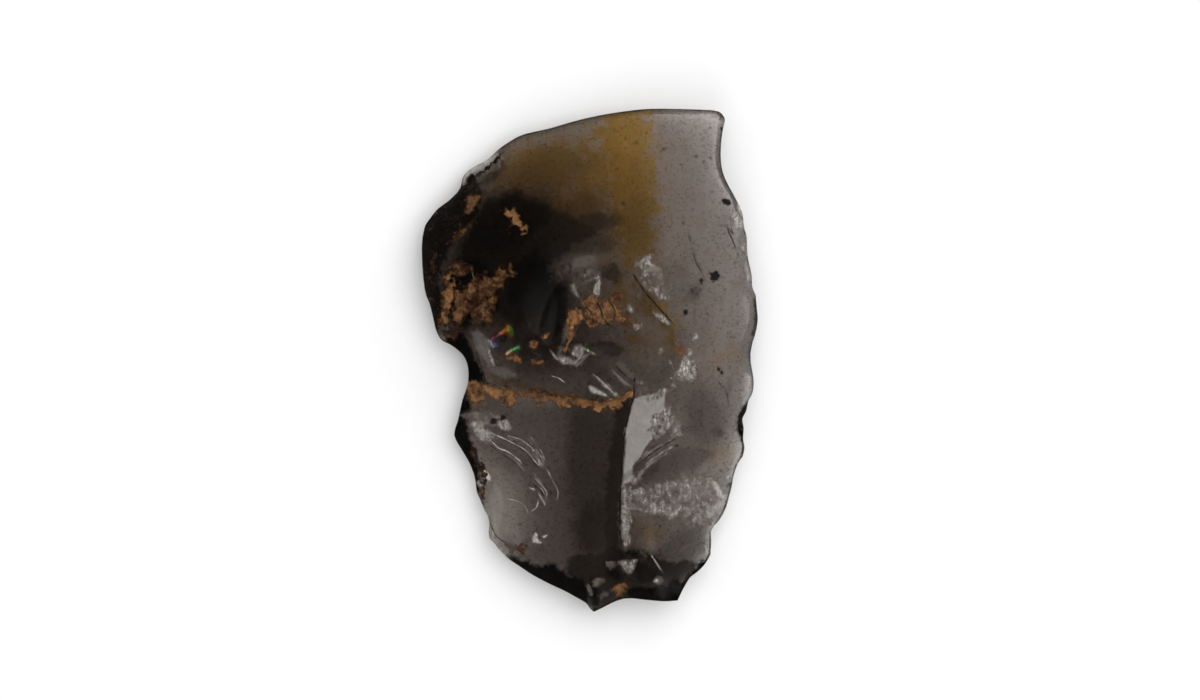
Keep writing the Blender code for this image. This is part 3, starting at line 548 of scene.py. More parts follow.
# The yellow stain
STAIN = [
    *patches(
        (3, 4.1, 1.2, 0.8, 320, 0.8, 0.6), (0.4, 9.2, 1.6, 1.2, 20, 0.92, 1.2),
    ),
    Area([(0.6, 12.6), (3, 12.6), (3.15, 10), (3.45, 8), (3.35, 6), (2.9, 4.6), (1.7, 4.7), (1.1, 6.2),
          (0.9, 8.2), (0.5, 10.2)], 1, 0.8),
    *patches(
        (1.9, 10, 1.6, 0.75, 80, 1, 0.8), (-2.2, 9.5, 2.6, 1.3, 14, 0.97, 1.2),
        (-0.7, 7.4, 1.9, 1.1, 40, 0.94, 1),
    ),
    Streak([(0.3, 11.2), (0.9, 10.4), (1.1, 11.6)], 0.25, 0.9, 0.4),
    *patches(
        (2.9, -8.5, 0.6, 0.5, 80, 0.55, 0.6), (6.3, -4.6, 0.7, 0.5, 40, 0.4, 0.6),
        (-5.4, 0.3, 1.3, 0.5, 110, 0.35, 0.5), (6.75, 0.25, 0.42, 0.22, 10, 0.6, 0.3),
        (2.8, 2.2, 2.3, 1.3, 300, 1, 0.7), (4.4, 0.9, 0.7, 0.4, 300, 0.5, 0.4),
        (-6, -2.2, 0.6, 0.5, 0, 0.4, 0.4),
    ),
]

# Smoky glass, and painted shade where faces and edges look dark
SMOKE_AND_SHADE = [
    *patches(
        (3.8, -7, 2.4, 1, 5, 0.28, 0.8), (4.5, -9.3, 1.8, 0.8, 20, 0.66, 0.8),
        (4.7, -0.6, 2.4, 1, 70, 0.22, 1),
    ),
    Area([(-5.9, -2.2), (-5.4, -4.4), (-4.5, -5.2), (-3.6, -6.1), (-3, -7.2), (-3.2, -8.4), (-3.6, -9.4),
          (-3, -10.2), (-0.5, -11.2), (1.5, -10.2), (1.6, -6), (1.9, -3), (2.1, -2)], 0.64, 1.7),
    *patches(
        (-3.8, -9.45, 1, 0.35, 325, 0.9, 0.5), (-5.9, 3.2, 1.9, 1.5, 90, 1, 0.7),
        (0.4, -10.6, 1.9, 1.3, 340, 1, 0.6), (2.9, -5.5, 0.9, 0.45, 40, 0.8, 0.5),
        (2.5, -8.6, 0.7, 0.5, 90, 0.45, 0.5), (5.4, -2.75, 0.5, 0.25, 100, 0.75, 0.5),
        (6.3, -3.6, 0.42, 0.25, 340, 0.75, 0.4), (5.15, 3.4, 0.45, 0.35, 60, 0.7, 0.5),
    ),
    Area([(-7.2, 4.4), (-5.6, 8.2), (-3.6, 8.7), (-1.8, 7.9), (0.4, 7), (1, 6), (-0.6, 5.2), (-1, 4),
          (-1.2, 1), (-3.4, 1.2), (-4.6, 1.8), (-6.4, 2)], 1, 1.3),
    *patches(
        (-3, 4.9, 2.6, 2.1, 50, 1, 1), (-1.2, 6.6, 2.2, 0.9, 20, 0.6, 1),
    ),
    Streak([(1.75, -2.2), (1.4, -4), (1.2, -6), (1.05, -8), (1.1, -9.8)], 0.65, 1, 0.8),
    *patches(
        (0.2, -5, 5.2, 2, 90, 0.9, 2.2), (0.3, -8.2, 2.6, 1.7, 90, 0.97, 2.2),
        (-2.4, -5.2, 2, 1, 300, 0.6, 1), (-1.5, -8.6, 1.7, 1, 60, 0.62, 1.2),
        (-2.2, 9.1, 3, 1.3, 14, 0.68, 1.4), (-0.6, 7.2, 2, 1.1, 30, 0.78, 1.4),
        (0.1, 6.7, 1.6, 0.8, 10, 0.96, 0.9), (0, 5.5, 1.8, 0.7, 10, 0.85, 0.8),
        (2.4, 6.6, 2, 1, 95, 0.5, 1.4), (2.2, 8.6, 1.5, 0.9, 95, 0.28, 1.4), (5, -9, 1.4, 1, 30, 0.5, 0.9),
        (5.7, -2.9, 1.7, 1, 100, 0.58, 0.9), (-1.9, -2.9, 2.2, 0.7, 355, 0.35, 0.8),
        (-1.2, -7.8, 0.9, 0.5, 30, 0.45, 0.6), (-0.2, -9.2, 1.2, 0.9, 0, 0.5, 1),
        (0.95, 4.35, 0.75, 0.55, 330, 0.95, 0.35), (1, 0.55, 0.9, 0.42, 350, 0.95, 0.35),
    ),
    Streak([(4.85, 6.2), (5.05, 5.5), (5.2, 4.9), (5.5, 4.4)], 0.05, 0.55, 0.22),
    *patches(
        (4.45, 4.4, 0.4, 0.18, 330, 0.35, 0.4), (5.5, -2.9, 1.2, 0.4, 100, 0.55, 0.6),
        (6.35, -3.55, 0.4, 0.22, 340, 0.55, 0.4), (5.6, -2.6, 1.7, 1.2, 100, 0.35, 0.8),
        (6.8, -1.6, 0.6, 0.1, 80, 0.45, 0.25),
    ),
    Area([(2.2, -6.05), (2.5, -5.5), (3.4, -4.8), (4.4, -4.3), (5.6, -4.2), (6.2, -4.7), (5.4, -5.5),
          (4, -6), (2.9, -6.2)], 0.62, 0.3),
    Area([(3.2, 3.2), (4.1, 1.7), (4.4, 0.2), (3.6, -1.3), (2.2, -1.2), (1.6, 0), (1.4, 1.4), (1.8, 2.8),
          (2.2, 4.2)], 0.56, 0.4),
    *patches(
        (3.3, -0.9, 1.3, 0.6, 340, 0.25, 0.5), (3.4, -8.6, 1.6, 0.5, 350, 0.3, 0.5),
        (4.6, -9.2, 1.2, 0.5, 20, 0.3, 0.5),
    ),
    Area([(1.4, -9.2), (3, -9.4), (3.6, -9.8), (5.4, -9.9), (5.3, -10.6), (4.4, -12.2), (0.2, -12.7),
          (-0.2, -11), (0.6, -9.6)], 1, 0.4),
    *patches(
        (-4.7, 9.35, 0.95, 0.45, 50, 0.85, 0.5), (-4.8, 0.6, 0.8, 0.5, 100, 0.25, 0.4),
    ),
]

# Painted shade: glass painted black where steep faces, thick glass and the trough look dark
PAINTED_BLACK_SHADE = [
    *patches(
        (-4.1, 6.7, 2.6, 1.4, 25, 0.8, 1), (-5.9, 3.2, 1.9, 1.5, 90, 0.93, 0.7),
        (-7.7, 3.2, 1.6, 0.5, 98, 1, 0.4),
    ),
    Area([(-8.6, 0.9), (-7.5, 1.2), (-7.55, 2.1), (-7.45, 4.2), (-7, 5), (-6.3, 6.2), (-5.4, 7.2),
          (-5.2, 8.3), (-5.6, 9.2), (-6.6, 8.9), (-8.8, 7), (-8.9, 3)], 1, 0.35),
    Area([(-7.3, 1.35), (-6.55, 1.75), (-6.15, 1.35), (-5.65, 0.4), (-5.25, -0.4), (-5.1, -1.15),
          (-6.3, -1.2), (-6.3, 0), (-7.1, 0.6)], 1, 0.2),
    Area([(-6.1, -1.1), (-5.85, -2.2), (-6, -3.2), (-5.75, -4.2), (-5.55, -5), (-5.4, -5.6), (-5.3, -6.4),
          (-5.5, -7), (-6.6, -5), (-7.2, -3.7)], 1, 0.3),
    Streak([(-5.65, -6.5), (-5.3, -7.25), (-5.12, -7.75)], 0.14, 1, 0.1),
    Area([(-5, -8.95), (-4.4, -9.35), (-3.9, -9.6), (-3.3, -9.9), (-2.4, -10.2), (-1.9, -9.95),
          (-1.4, -10.35), (-0.9, -10.62), (-0.35, -10.8), (-0.1, -11.3), (0.05, -12.1), (0.1, -12.7),
          (-2, -11.6), (-4.2, -10.2)], 1, 0.18),
    Area([(1.2, -12.1), (1.85, -11.55), (2.35, -11.15), (3.1, -11.05), (3.9, -11.25), (4.5, -10.95),
          (5.2, -10.2), (5.9, -9.5), (6.3, -9.7), (5, -11.4), (4.4, -12.3)], 1, 0.25),
    *patches(
        (2.35, -9.5, 0.85, 0.22, 350, 0.96, 0.25), (1.15, -10.45, 0.6, 0.35, 300, 0.95, 0.35),
        (2.75, -10.55, 0.75, 0.5, 320, 0.8, 0.35), (4.2, -11.1, 0.45, 0.22, 20),
    ),
    Streak([(2, -11.55), (2.8, -11.45), (3.8, -11.65)], 0.3, 1, 0.2),
    *patches(
        (1.35, -9.6, 0.5, 0.5, 0, 0.55, 0.6), (0.15, -11.6, 0.35, 0.8, 0, 0.96, 0.3),
        (2.1, -5.5, 0.2, 0.14, 30, 0.5), (-3, 3.6, 1.8, 1.2, 80, 0.92, 0.9),
    ),
    Streak([(0.2, -12.5), (0.9, -12.1), (1.6, -11.85)], 0.14, 0.9),
    Patch((-1.65, 2.3), 1.75, 0.55, 78, 0.94, 0.35),
    Streak([(7.95, -2.05), (7.62, -2.6), (7.46, -3), (7.44, -3.5), (7.62, -4)], 0.2),
    Streak([(6.85, -6.6), (6.95, -6.2)], 0.15, 1, 0.1),
    Streak([(8.15, 3), (8.25, 2.2), (8.1, 1.3)], 0.1, 0.9, 0.08),
    Streak([(7.85, 5.4), (7.95, 4.6), (8.05, 3.9)], 0.08, 0.9, 0.08),
    *patches(
        (-6.35, 4.25, 0.42, 0.2, 10, 0.9, 0.15), (-2.85, -6.9, 0.12, 0.09, 0, 0.5, 0.1),
    ),
]

# Each speck's place, radius and strength
SPECKS = [
    (6.18, 4.13, 0.18, 1), (6.05, 4.05, 0.09, 1), (6.28, 4.15, 0.08, 1), (5.52, 3.92, 0.07, 0.9),
    (5.5, 3.8, 0.06, 0.8), (4.72, 2.34, 0.1, 0.8), (6.69, 7.83, 0.12, 1), (6.81, 7.77, 0.11, 1),
    (6.58, 11.42, 0.1, 0.8), (3.62, 10.35, 0.08, 0.45), (5.25, 10.05, 0.08, 0.45), (5.62, 9.8, 0.07, 0.4),
    (4.6, 6.75, 0.07, 0.45), (1.75, 10.9, 0.06, 0.4), (2.3, 10.7, 0.07, 0.4), (1.65, 7.7, 0.08, 0.5),
    (5.78, 2.26, 0.05, 0.6), (5.95, 10, 0.05, 0.5), (4.3, -4.25, 0.05, 0.7), (-0.9, -3.55, 0.06, 0.6),
    (-4.3, -2.85, 0.1, 0.9), (-4.75, -3.02, 0.12, 0.9), (-4.55, -2.95, 0.05, 0.6), (6.35, -0.45, 0.1, 0.55),
    (6.5, -0.62, 0.08, 0.55), (5.05, 3.42, 0.07, 0.45), (5.28, 3.25, 0.06, 0.4), (5.42, 3.45, 0.05, 0.45),
    (3.1, -2.8, 0.05, 0.5), (3.45, -3.3, 0.06, 0.5), (3.3, -3.6, 0.05, 0.45), (2.85, -3.45, 0.04, 0.45),
    (3.6, -2.95, 0.05, 0.4), (3.9, -2.4, 0.06, 0.4), (6.5, -5.5, 0.06, 0.45), (2.1, -8.1, 0.07, 0.5),
    (1.95, -8.5, 0.06, 0.5), (-3.45, -8.1, 0.06, 0.4), (1.45, 5.9, 0.05, 0.4), (-4.26, 1.08, 0.12, 1),
    (-4.22, 0.98, 0.1, 1), (0.35, 2.55, 0.06, 0.5), (0.75, 1.8, 0.05, 0.5), (1.2, 2.2, 0.06, 0.5),
]

# The rainbow film's streaks, each with its colour: its interference colours and glints are a painted
# reflection
PAINTED_RAINBOW = [
    (Streak([(-4.95, 0.98), (-4.65, 1.12), (-4.38, 1.3)], 0.13, 0.6), (0.4, 0.09, 0.17)),
    (Streak([(-4.9, 0.8), (-4.72, 0.66)], 0.15, 0.85), (0.17, 0.19, 0.42)),
    (Streak([(-4.98, 0.42), (-4.86, 0.1)], 0.14, 0.8), (0.05, 0.26, 0.19)),
    (Streak([(-4.82, -0.05), (-4.7, -0.3)], 0.11, 0.75), (0.28, 0.34, 0.12)),
    (Streak([(-4.55, 0.75), (-4.3, 0.55)], 0.16, 0.55), (0.1, 0.08, 0.16)),
    (Streak([(-4.32, 1.3), (-4.12, 1.48), (-4.02, 1.66)], 0.12, 0.8), (0.55, 0.2, 0.03)),
    (Streak([(-3.98, 1.5), (-3.88, 1.15)], 0.09, 0.65), (0.45, 0.3, 0.03)),
    (Streak([(-3.86, 1.62), (-3.74, 1.25)], 0.06, 0.7), (0.08, 0.4, 0.04)),
    (Streak([(-4.1, 0.2), (-4.02, 0.4)], 0.07, 0.6), (0.4, 0.08, 0.03)),
    (Streak([(-4.06, 0.3), (-3.88, 0.42)], 0.07), (1, 0.78, 0.5)),
    (Streak([(-3.8, 0.5), (-3.48, 0.62)], 0.08), (0.18, 0.8, 0.22)),
    (Streak([(-2.78, 0.42), (-2.4, 0.18)], 0.06, 0.45), (0.14, 0.34, 0.34)),
    (Streak([(-0.42, 0.64), (-0.1, 0.46)], 0.05, 0.9), (0.2, 0.75, 0.3)),
    (Streak([(-0.1, 0.46), (0.24, 0.28)], 0.04, 0.8), (0.75, 0.6, 0.45)),
]


def smooth_line(points, spacing):
    """A Catmull-Rom curve through the points, as points about that far apart, without its last."""
    p = np.array(points, float)
    p = np.vstack([2 * p[0] - p[1], p, 2 * p[-1] - p[-2]])
    found = []
    for a, b, c, d in zip(p, p[1:], p[2:], p[3:]):
        steps = max(1, round(float(np.linalg.norm(c - b)) / spacing))
        for t in np.arange(steps) / steps:
            found.append(0.5 * (2 * b + (c - a) * t + (2 * a - 5 * b + 4 * c - d) * t**2
                                + (3 * b - a - 3 * c + d) * t**3))
    return np.array(found)


def outline(spacing):
    """The whole outline, clockwise, and each point's rim height, steepness and ledge width, which
    pass into the next margin's over a short way."""
    lines = [smooth_line(m.points, spacing) for m in MARGINS]
    traits = [np.tile((m.rim, m.steepness, m.ledge), (len(line), 1)) for m, line in zip(MARGINS, lines)]
    traits = np.vstack(traits)
    reach = round(BLEND_LENGTH / 2 / spacing)
    blended = np.mean([np.roll(traits, shift, axis=0) for shift in range(-reach, reach + 1)], axis=0)
    return np.vstack(lines), blended


def along_and_across(place, heading, xy):
    """Distances from a place: along a heading, and to the left of it."""
    turn = math.radians(heading)
    dx = xy[:, 0] - place[0]
    dy = xy[:, 1] - place[1]
    return dx * math.cos(turn) + dy * math.sin(turn), dy * math.cos(turn) - dx * math.sin(turn)


def left_of_line(points, xy):
    """Signed distance from a line of points, above 0 on its left."""
    nearest = np.full(len(xy), np.inf)
    signed = np.zeros(len(xy))
    for a, b in zip(np.array(points), np.array(points)[1:]):
        way = b - a
        share = np.clip((xy - a) @ way / (way @ way), 0, 1)
        apart = xy - a - share[:, None] * way
        distance = np.hypot(apart[:, 0], apart[:, 1])
        side = way[0] * (xy[:, 1] - a[1]) - way[1] * (xy[:, 0] - a[0])
        closer = distance < nearest
        nearest[closer] = distance[closer]
        signed[closer] = (np.sign(side) * distance)[closer]
    return signed


def scar_height(scar, xy):
    """The scar's floor, and the wall that rises past its step."""
    u, v = along_and_across(scar.struck, scar.heading, xy)
    floor = scar.height + scar.climb * u + scar.lean * v + scar.bow_along * u * u + scar.bow_across * v * v
    if not scar.step:
        return floor, np.full(len(xy), -1.0)
    past = left_of_line(smooth_line(scar.step, 0.5), xy)
    return floor + scar.steepness * np.maximum(past, 0), past


def scar_layers(xy):
    """The floors of all the scars, one row each, and the signed distances past their steps. The two
    far scars run into each other with no ridge: the first row is both, and the second is set aside."""
    floors, steps = zip(*[scar_height(scar, xy) for scar in SCARS])
    floors = np.array(floors)
    floors[0] = -SOFT_CREST * np.logaddexp(-floors[0] / SOFT_CREST, -floors[1] / SOFT_CREST)
    floors[1] = FAR
    return floors, np.array(steps)


def main_height(xy):
    """The lowest of the larger scars."""
    return scar_layers(xy)[0].min(0)


def bite_height(bite, xy):
    """A bowl, set into the plane through the four ends of its length and width."""
    turn = math.radians(bite.heading)
    ahead = np.array((math.cos(turn), math.sin(turn))) * bite.half_length
    aside = np.array((-math.sin(turn), math.cos(turn))) * bite.half_width
    middle = np.array(bite.centre)
    front, back, left, right = main_height(middle + [ahead, -ahead, aside, -aside])
    u, v = along_and_across(bite.centre, bite.heading, xy)
    u = u / bite.half_length
    v = v / bite.half_width
    plane = (front + back + left + right) / 4 + (front - back) / 2 * u + (left - right) / 2 * v
    return plane - bite.depth * (1 - u * u - v * v)


def ripple(rings, xy):
    """The rise and fall of the rings, fading out at both radii and both bearings."""
    dx = xy[:, 0] - rings.centre[0]
    dy = xy[:, 1] - rings.centre[1]
    radius = np.hypot(dx, dy)
    bearing = np.degrees(np.arctan2(dy, dx)) % 360
    share = np.clip((radius - rings.inner) / (rings.outer - rings.inner), 0, 1)
    first, last = rings.bearings
    turn = np.clip((bearing - first) / (last - first), 0, 1)
    fade = np.sin(math.pi * share) ** 0.5 * np.sin(math.pi * turn) ** 0.5
    return -rings.depth * fade * np.cos(2 * math.pi * (rings.outer - radius) / rings.spacing)


def roughness(xy, size, seed):
    """Smooth unevenness from -1 to 1, in patches about that size."""
    return np.array([noise.noise(Vector((x / size, y / size, seed))) for x, y in xy])


def ventral_height(xy):
    """The underside: flat in the middle, bowed up to the edges, with the bulb and its small scar."""
    dx = (xy[:, 0] - FLAT_CENTRE[0]) / FLAT_HALF_WIDTH
    dy = (xy[:, 1] - FLAT_CENTRE[1]) / FLAT_HALF_LENGTH
    beyond = np.maximum(np.hypot(dx, dy) - 1, 0)
    bow = EDGE_LIFT * beyond**1.6
    from_bulb = np.hypot(xy[:, 0] - BULB_CENTRE[0], xy[:, 1] - BULB_CENTRE[1]) / BULB_RADIUS
    bulb = BULB_DEPTH * np.exp(-(from_bulb**2))
    waves = ripple(VENTRAL_RIPPLES, xy) * np.minimum(beyond / 0.5, 1)
    surface = np.maximum(bow - bulb + waves, np.where(beyond > 0, 0.03 * np.minimum(beyond / 0.1, 1), 0))
    return np.maximum(surface, scar_height(BULB_SCAR, xy)[0])


EDGE_LINE, EDGE_TRAITS = outline(EDGE_STEP)
EDGE_TREE = kdtree.KDTree(len(EDGE_LINE))
for number, (edge_x, edge_y) in enumerate(EDGE_LINE):
    EDGE_TREE.insert((edge_x, edge_y, 0), number)
EDGE_TREE.balance()
EDGE_CHIPS = np.array([
    abs(noise.noise(Vector((number * EDGE_STEP / CHIP_LENGTH, 5.3, 0.7)))) for number in range(len(EDGE_LINE))
])


def from_outline(xy):
    """Each point's distance from the outline, and the rim, steepness and ledge of the nearest margin."""
    found = [EDGE_TREE.find((x, y, 0)) for x, y in xy]
    return np.array([distance for _, _, distance in found]), EDGE_TRAITS[[place for _, place, _ in found]]


def scallops(xy):
    """How deep the small chips of the nearest margin are, from 0 to about 1."""
    return EDGE_CHIPS[[EDGE_TREE.find((x, y, 0))[1] for x, y in xy]] * 1.6


def dorsal_layers(xy):
    """The heights of all the scars and of the margin's face, one row each, and each point's signed
    distance past the step of every scar."""
    distance, traits = from_outline(xy)
    rim, steepness, ledge = traits.T
    margin = ventral_height(xy) + rim + 0.2 * np.minimum(distance, ledge)
    margin += steepness * np.maximum(distance - ledge, 0)
    floors, steps = scar_layers(xy)
    bites = [bite_height(bite, xy) for bite in BITES]
    no_steps = np.full((len(BITES) + 1, len(xy)), -1.0)
    return np.vstack([floors, *bites, margin]), np.vstack([steps, no_steps])


def thin_lines(lines, xy):
    """How far each point is off the nearest of the lines, in half widths of it, and how strong that
    line is there."""
    spacing = reach = 0.12
    farthest = 9.0
    off = np.full(len(xy), farthest)
    strength = np.zeros(len(xy))
    for line in lines:
        gap = left_of_line(smooth_line([*line.points, line.points[-1]], spacing), xy)
        closer = np.abs(gap / line.half_width) < np.abs(off)
        off[closer] = (gap / line.half_width)[closer]
        strength[closer] = line.strength * np.clip(2.0 - np.abs(gap[closer]) / reach, 0, 1)
    return off, strength * np.clip(0.85 + 1.2 * roughness(xy, 0.40, 43.0), 0.15, 1)


def hackle_lift(xy):
    """The height of the thin curved ridges at each point."""
    off, strength = thin_lines(HACKLES_AND_GLINTS, xy)
    return strength * np.exp(-((off / 1.3) ** 2))


def dorsal_height(xy):
    """The upper face: the lowest layer, with ripples in their scars and a little unevenness."""
    layers, _ = dorsal_layers(xy)
    names = [scar.name for scar in SCARS]
    lowest = layers.argmin(0)
    height = layers.min(0)
    spall = (lowest == names.index("left spall")) | (lowest == names.index("hinged scar"))
    waist = lowest == names.index("waist facet")
    height += np.where(spall, ripple(SPALL_RIPPLES, xy), 0)
    height += np.where(waist, ripple(WAIST_LANCES, xy), 0)
    cortex = np.isin(lowest, [names.index("left slope"), names.index("upper left slope")])
    height += UNEVENNESS * roughness(xy, 1.9, 3.0)
    height += np.where(cortex, ROUGH_CORTEX * roughness(xy, 0.85, 7.0), 0)
    height += HACKLE_HEIGHT * hackle_lift(xy)
    frost_and_highlight, _ = field_of(FROST_AND_HIGHLIGHTS, xy)
    dirt, _ = field_of(DIRT, xy, DIRT_RAG, DIRT_SOFTNESS)
    height += FROST_RELIEF * frost_and_highlight * roughness(xy, 0.20, 11.0)
    height += FROST_WAVES * frost_and_highlight * roughness(xy, 0.55, 13.0)
    height += DIRT_RELIEF * dirt * (roughness(xy, 0.30, 17.0) + 0.8 * roughness(xy, 0.14, 19.0) + 0.5)
    distance, _ = from_outline(xy)
    near_edge = np.clip(distance / 0.25, 0, 1) * np.clip(2.0 - distance / 0.45, 0, 1)
    height -= CHIP_DEPTH * scallops(xy) * near_edge
    return height


def depth_in(place, xy):
    """How far each point is inside a place, in millimetres, below 0 outside it."""
    if isinstance(place, Streak):
        return place.half_width - np.abs(left_of_line(place.points, xy))
    if isinstance(place, Patch):
        u, v = along_and_across(place.centre, place.heading, xy)
        off = np.hypot(u / place.half_length, v / place.half_width)
        return (1 - off) * min(place.half_length, place.half_width)
    closed = [*place.points, place.points[0]]
    return np.abs(left_of_line(closed, xy)) * np.where(within(np.array(place.points), xy), 1, -1)


def field_of(places, xy, rag=0.16, soften=1.0):
    """How strongly each point belongs to the places, from 0 to 1, with ragged edges, and the tone of
    the place that it belongs to most."""
    fine_rag = 0.7 * roughness(xy, 0.20, 29.0)
    finest_rag = 0.5 * roughness(xy, 0.09, 31.0)
    ragged = rag * (roughness(xy, 0.55, 23.0) + fine_rag + finest_rag)
    found = np.zeros(len(xy))
    tone = np.full(len(xy), 0.5)
    for place in places:
        soft = place.soft * soften
        share = np.clip(0.5 + (depth_in(place, xy) + ragged * min(1, 4 * soft)) / soft, 0, 1)
        share = place.strength * share * share * (3 - 2 * share)
        stronger = share > found
        found[stronger] = share[stronger]
        tone[stronger] = place.tone
    return found, tone


def crease_gaps(xy):
    """Signed gaps that are zero on a ridge between two scars, or at the foot of a step."""
    layers, steps = dorsal_layers(xy)
    order = np.argpartition(layers, 1, axis=0)[:2]
    columns = np.arange(len(xy))
    first, second = layers[order[0], columns], layers[order[1], columns]
    return second - first, steps[order[0], columns]


def drawn_to_creases(xy, reach):
    """The points, each moved onto the nearest ridge or step foot if that is within reach."""
    step = 0.01
    here = crease_gaps(xy)
    east = crease_gaps(xy + (step, 0))
    north = crease_gaps(xy + (0, step))
    best = np.full(len(xy), reach)
    shift = np.zeros_like(xy)
    for gap, gap_east, gap_north in zip(here, east, north):
        slope = np.stack([gap_east - gap, gap_north - gap], 1) / step
        steep = np.maximum((slope**2).sum(1), 1e-9)
        away = np.abs(gap) / np.sqrt(steep)
        near = away < best
        best[near] = away[near]
        shift[near] = -(gap / steep)[near, None] * slope[near]
    return xy + shift


def lattice(spacing, keep_off):
    """Staggered points inside the outline, none nearer to it than keep_off."""
    rows = np.arange(-FLAKE_LENGTH / 2, FLAKE_LENGTH / 2, spacing * math.sqrt(0.75))
    columns = np.arange(-FLAKE_WIDTH / 2, FLAKE_WIDTH / 2, spacing)
    xy = np.array([(x + (i % 2) * spacing / 2, y) for i, y in enumerate(rows) for x in columns])
    xy = xy[inside_outline(xy)]
    return xy[from_outline(xy)[0] > keep_off]


def inside_outline(xy):
    """Whether each point is inside the outline."""
    return within(outline(RIM_SPACING)[0], xy)


def within(line, xy):
    """Whether each point is inside a closed line, by how often a ray to +X crosses it."""
    inside = np.zeros(len(xy), bool)
    for (ax, ay), (bx, by) in zip(line, np.roll(line, -1, axis=0)):
        spans = (ay > xy[:, 1]) != (by > xy[:, 1])
        with np.errstate(divide="ignore", invalid="ignore"):
            crossing = ax + (xy[:, 1] - ay) / (by - ay) * (bx - ax)
        inside ^= spans & (xy[:, 0] < crossing)
    return inside


def left_of(line, closed):
    """At each point of a line, the way that points to its left."""
    way = np.roll(line, -1, axis=0) - np.roll(line, 1, axis=0) if closed else np.gradient(line, axis=0)
    return np.stack([-way[:, 1], way[:, 0]], 1) / np.hypot(way[:, 0], way[:, 1])[:, None]


def brow_row(starts, ways, layer, widest):
    """From each start, the first place on its way where that layer is no longer the lowest."""
    depths = np.arange(0.06, widest, 0.03)
    tracks = starts[:, None, :] + depths[None, :, None] * ways[:, None, :]
    layers, _ = dorsal_layers(tracks.reshape(-1, 2))
    given_way = (layers.argmin(0) != layer).reshape(len(starts), len(depths))
    found = given_way.any(1) & ~given_way[:, 0]
    return tracks[np.arange(len(starts)), given_way.argmax(1)][found]


def step_rows(spacing):
    """Points along the foot and along the brow of every step."""
    rows = []
    for layer, scar in enumerate(SCARS):
        if scar.step:
            foot = smooth_line(scar.step, spacing)
            brow = brow_row(foot, left_of(foot, closed=False), layer, 1.0)
            foot = foot[dorsal_layers(foot)[0].argmin(0) == layer]
            rows += [foot, brow]
    return np.vstack(rows)


def spread(xy, gap):
    """The points, leaving out any that is closer than gap to one before it."""
    kept = []
    cells = {}
    for x, y in xy:
        column, row = math.floor(x / gap), math.floor(y / gap)
        around = [cells.get((column + i, row + j)) for i in (-1, 0, 1) for j in (-1, 0, 1)]
        near = [p for places in around if places for p in places]
        if all((x - a) ** 2 + (y - b) ** 2 >= gap * gap for a, b in near):
            kept.append((x, y))
            cells.setdefault((column, row), []).append((x, y))
    return np.array(kept)


def dorsal_points(edge):
    """Where the upper face has its vertices, besides the rim."""
    shoulder = brow_row(edge, -left_of(edge, closed=True), len(SCARS) + len(BITES), 1.2)
    steps = step_rows(DORSAL_SPACING * 0.8)
    fine = lattice(FINE_SPACING, 0.1)
    fine = fine[(hackle_lift(fine) > 0.05) | (painted_film_colour(fine)[1] > 0.15)]
    points = drawn_to_creases(lattice(DORSAL_SPACING, DORSAL_SPACING * 0.55), DORSAL_SPACING * 0.5)
    points = points[inside_outline(points)]
    rows = spread(np.vstack([steps, shoulder]), DORSAL_SPACING * 0.3)
    rows = rows[inside_outline(rows)]
    every = spread(np.vstack([rows, fine, points]), FINE_SPACING * 0.8)
    return every[from_outline(every)[0] > 0.05]


def triangulated(edge, inner):
    """Triangles over the outline and the points inside it: the points, and triples of their places."""
    places = [Vector(p) for p in np.vstack([edge, inner])]
    rim = [(i, (i + 1) % len(edge)) for i in range(len(edge))]
    points, _, faces, *_ = geometry.delaunay_2d_cdt(places, rim, [], 1, 1e-5)
    return np.array([tuple(p) for p in points]), faces


def painted_film_colour(xy):
    """The rainbow film's painted colours and glints at each point, and how much of them there is."""
    colour = np.zeros((len(xy), 3))
    amount = np.zeros(len(xy))
    for line, tint in PAINTED_RAINBOW:
        share = line.strength * np.exp(-((left_of_line(line.points, xy) / line.half_width) ** 2))
        colour += share[:, None] * np.array(tint)
        amount += share
    streaks = 0.75 + 0.5 * roughness(xy @ np.array([[0.6, -2.0], [0.8, 1.6]]), 0.16, 37.0)
    return colour / np.maximum(amount, 1e-6)[:, None], np.clip(amount * streaks, 0, 1)


def speck_field(xy):
    """The dark specks in the glass."""
    found = np.zeros(len(xy))
    ragged = 1 + 0.5 * roughness(xy, 0.12, 47.0)
    for x, y, radius, strength in SPECKS:
        off = np.hypot(xy[:, 0] - x, xy[:, 1] - y) / radius * ragged
        found = np.maximum(found, strength * np.clip(1.7 - off, 0, 1))
    return found


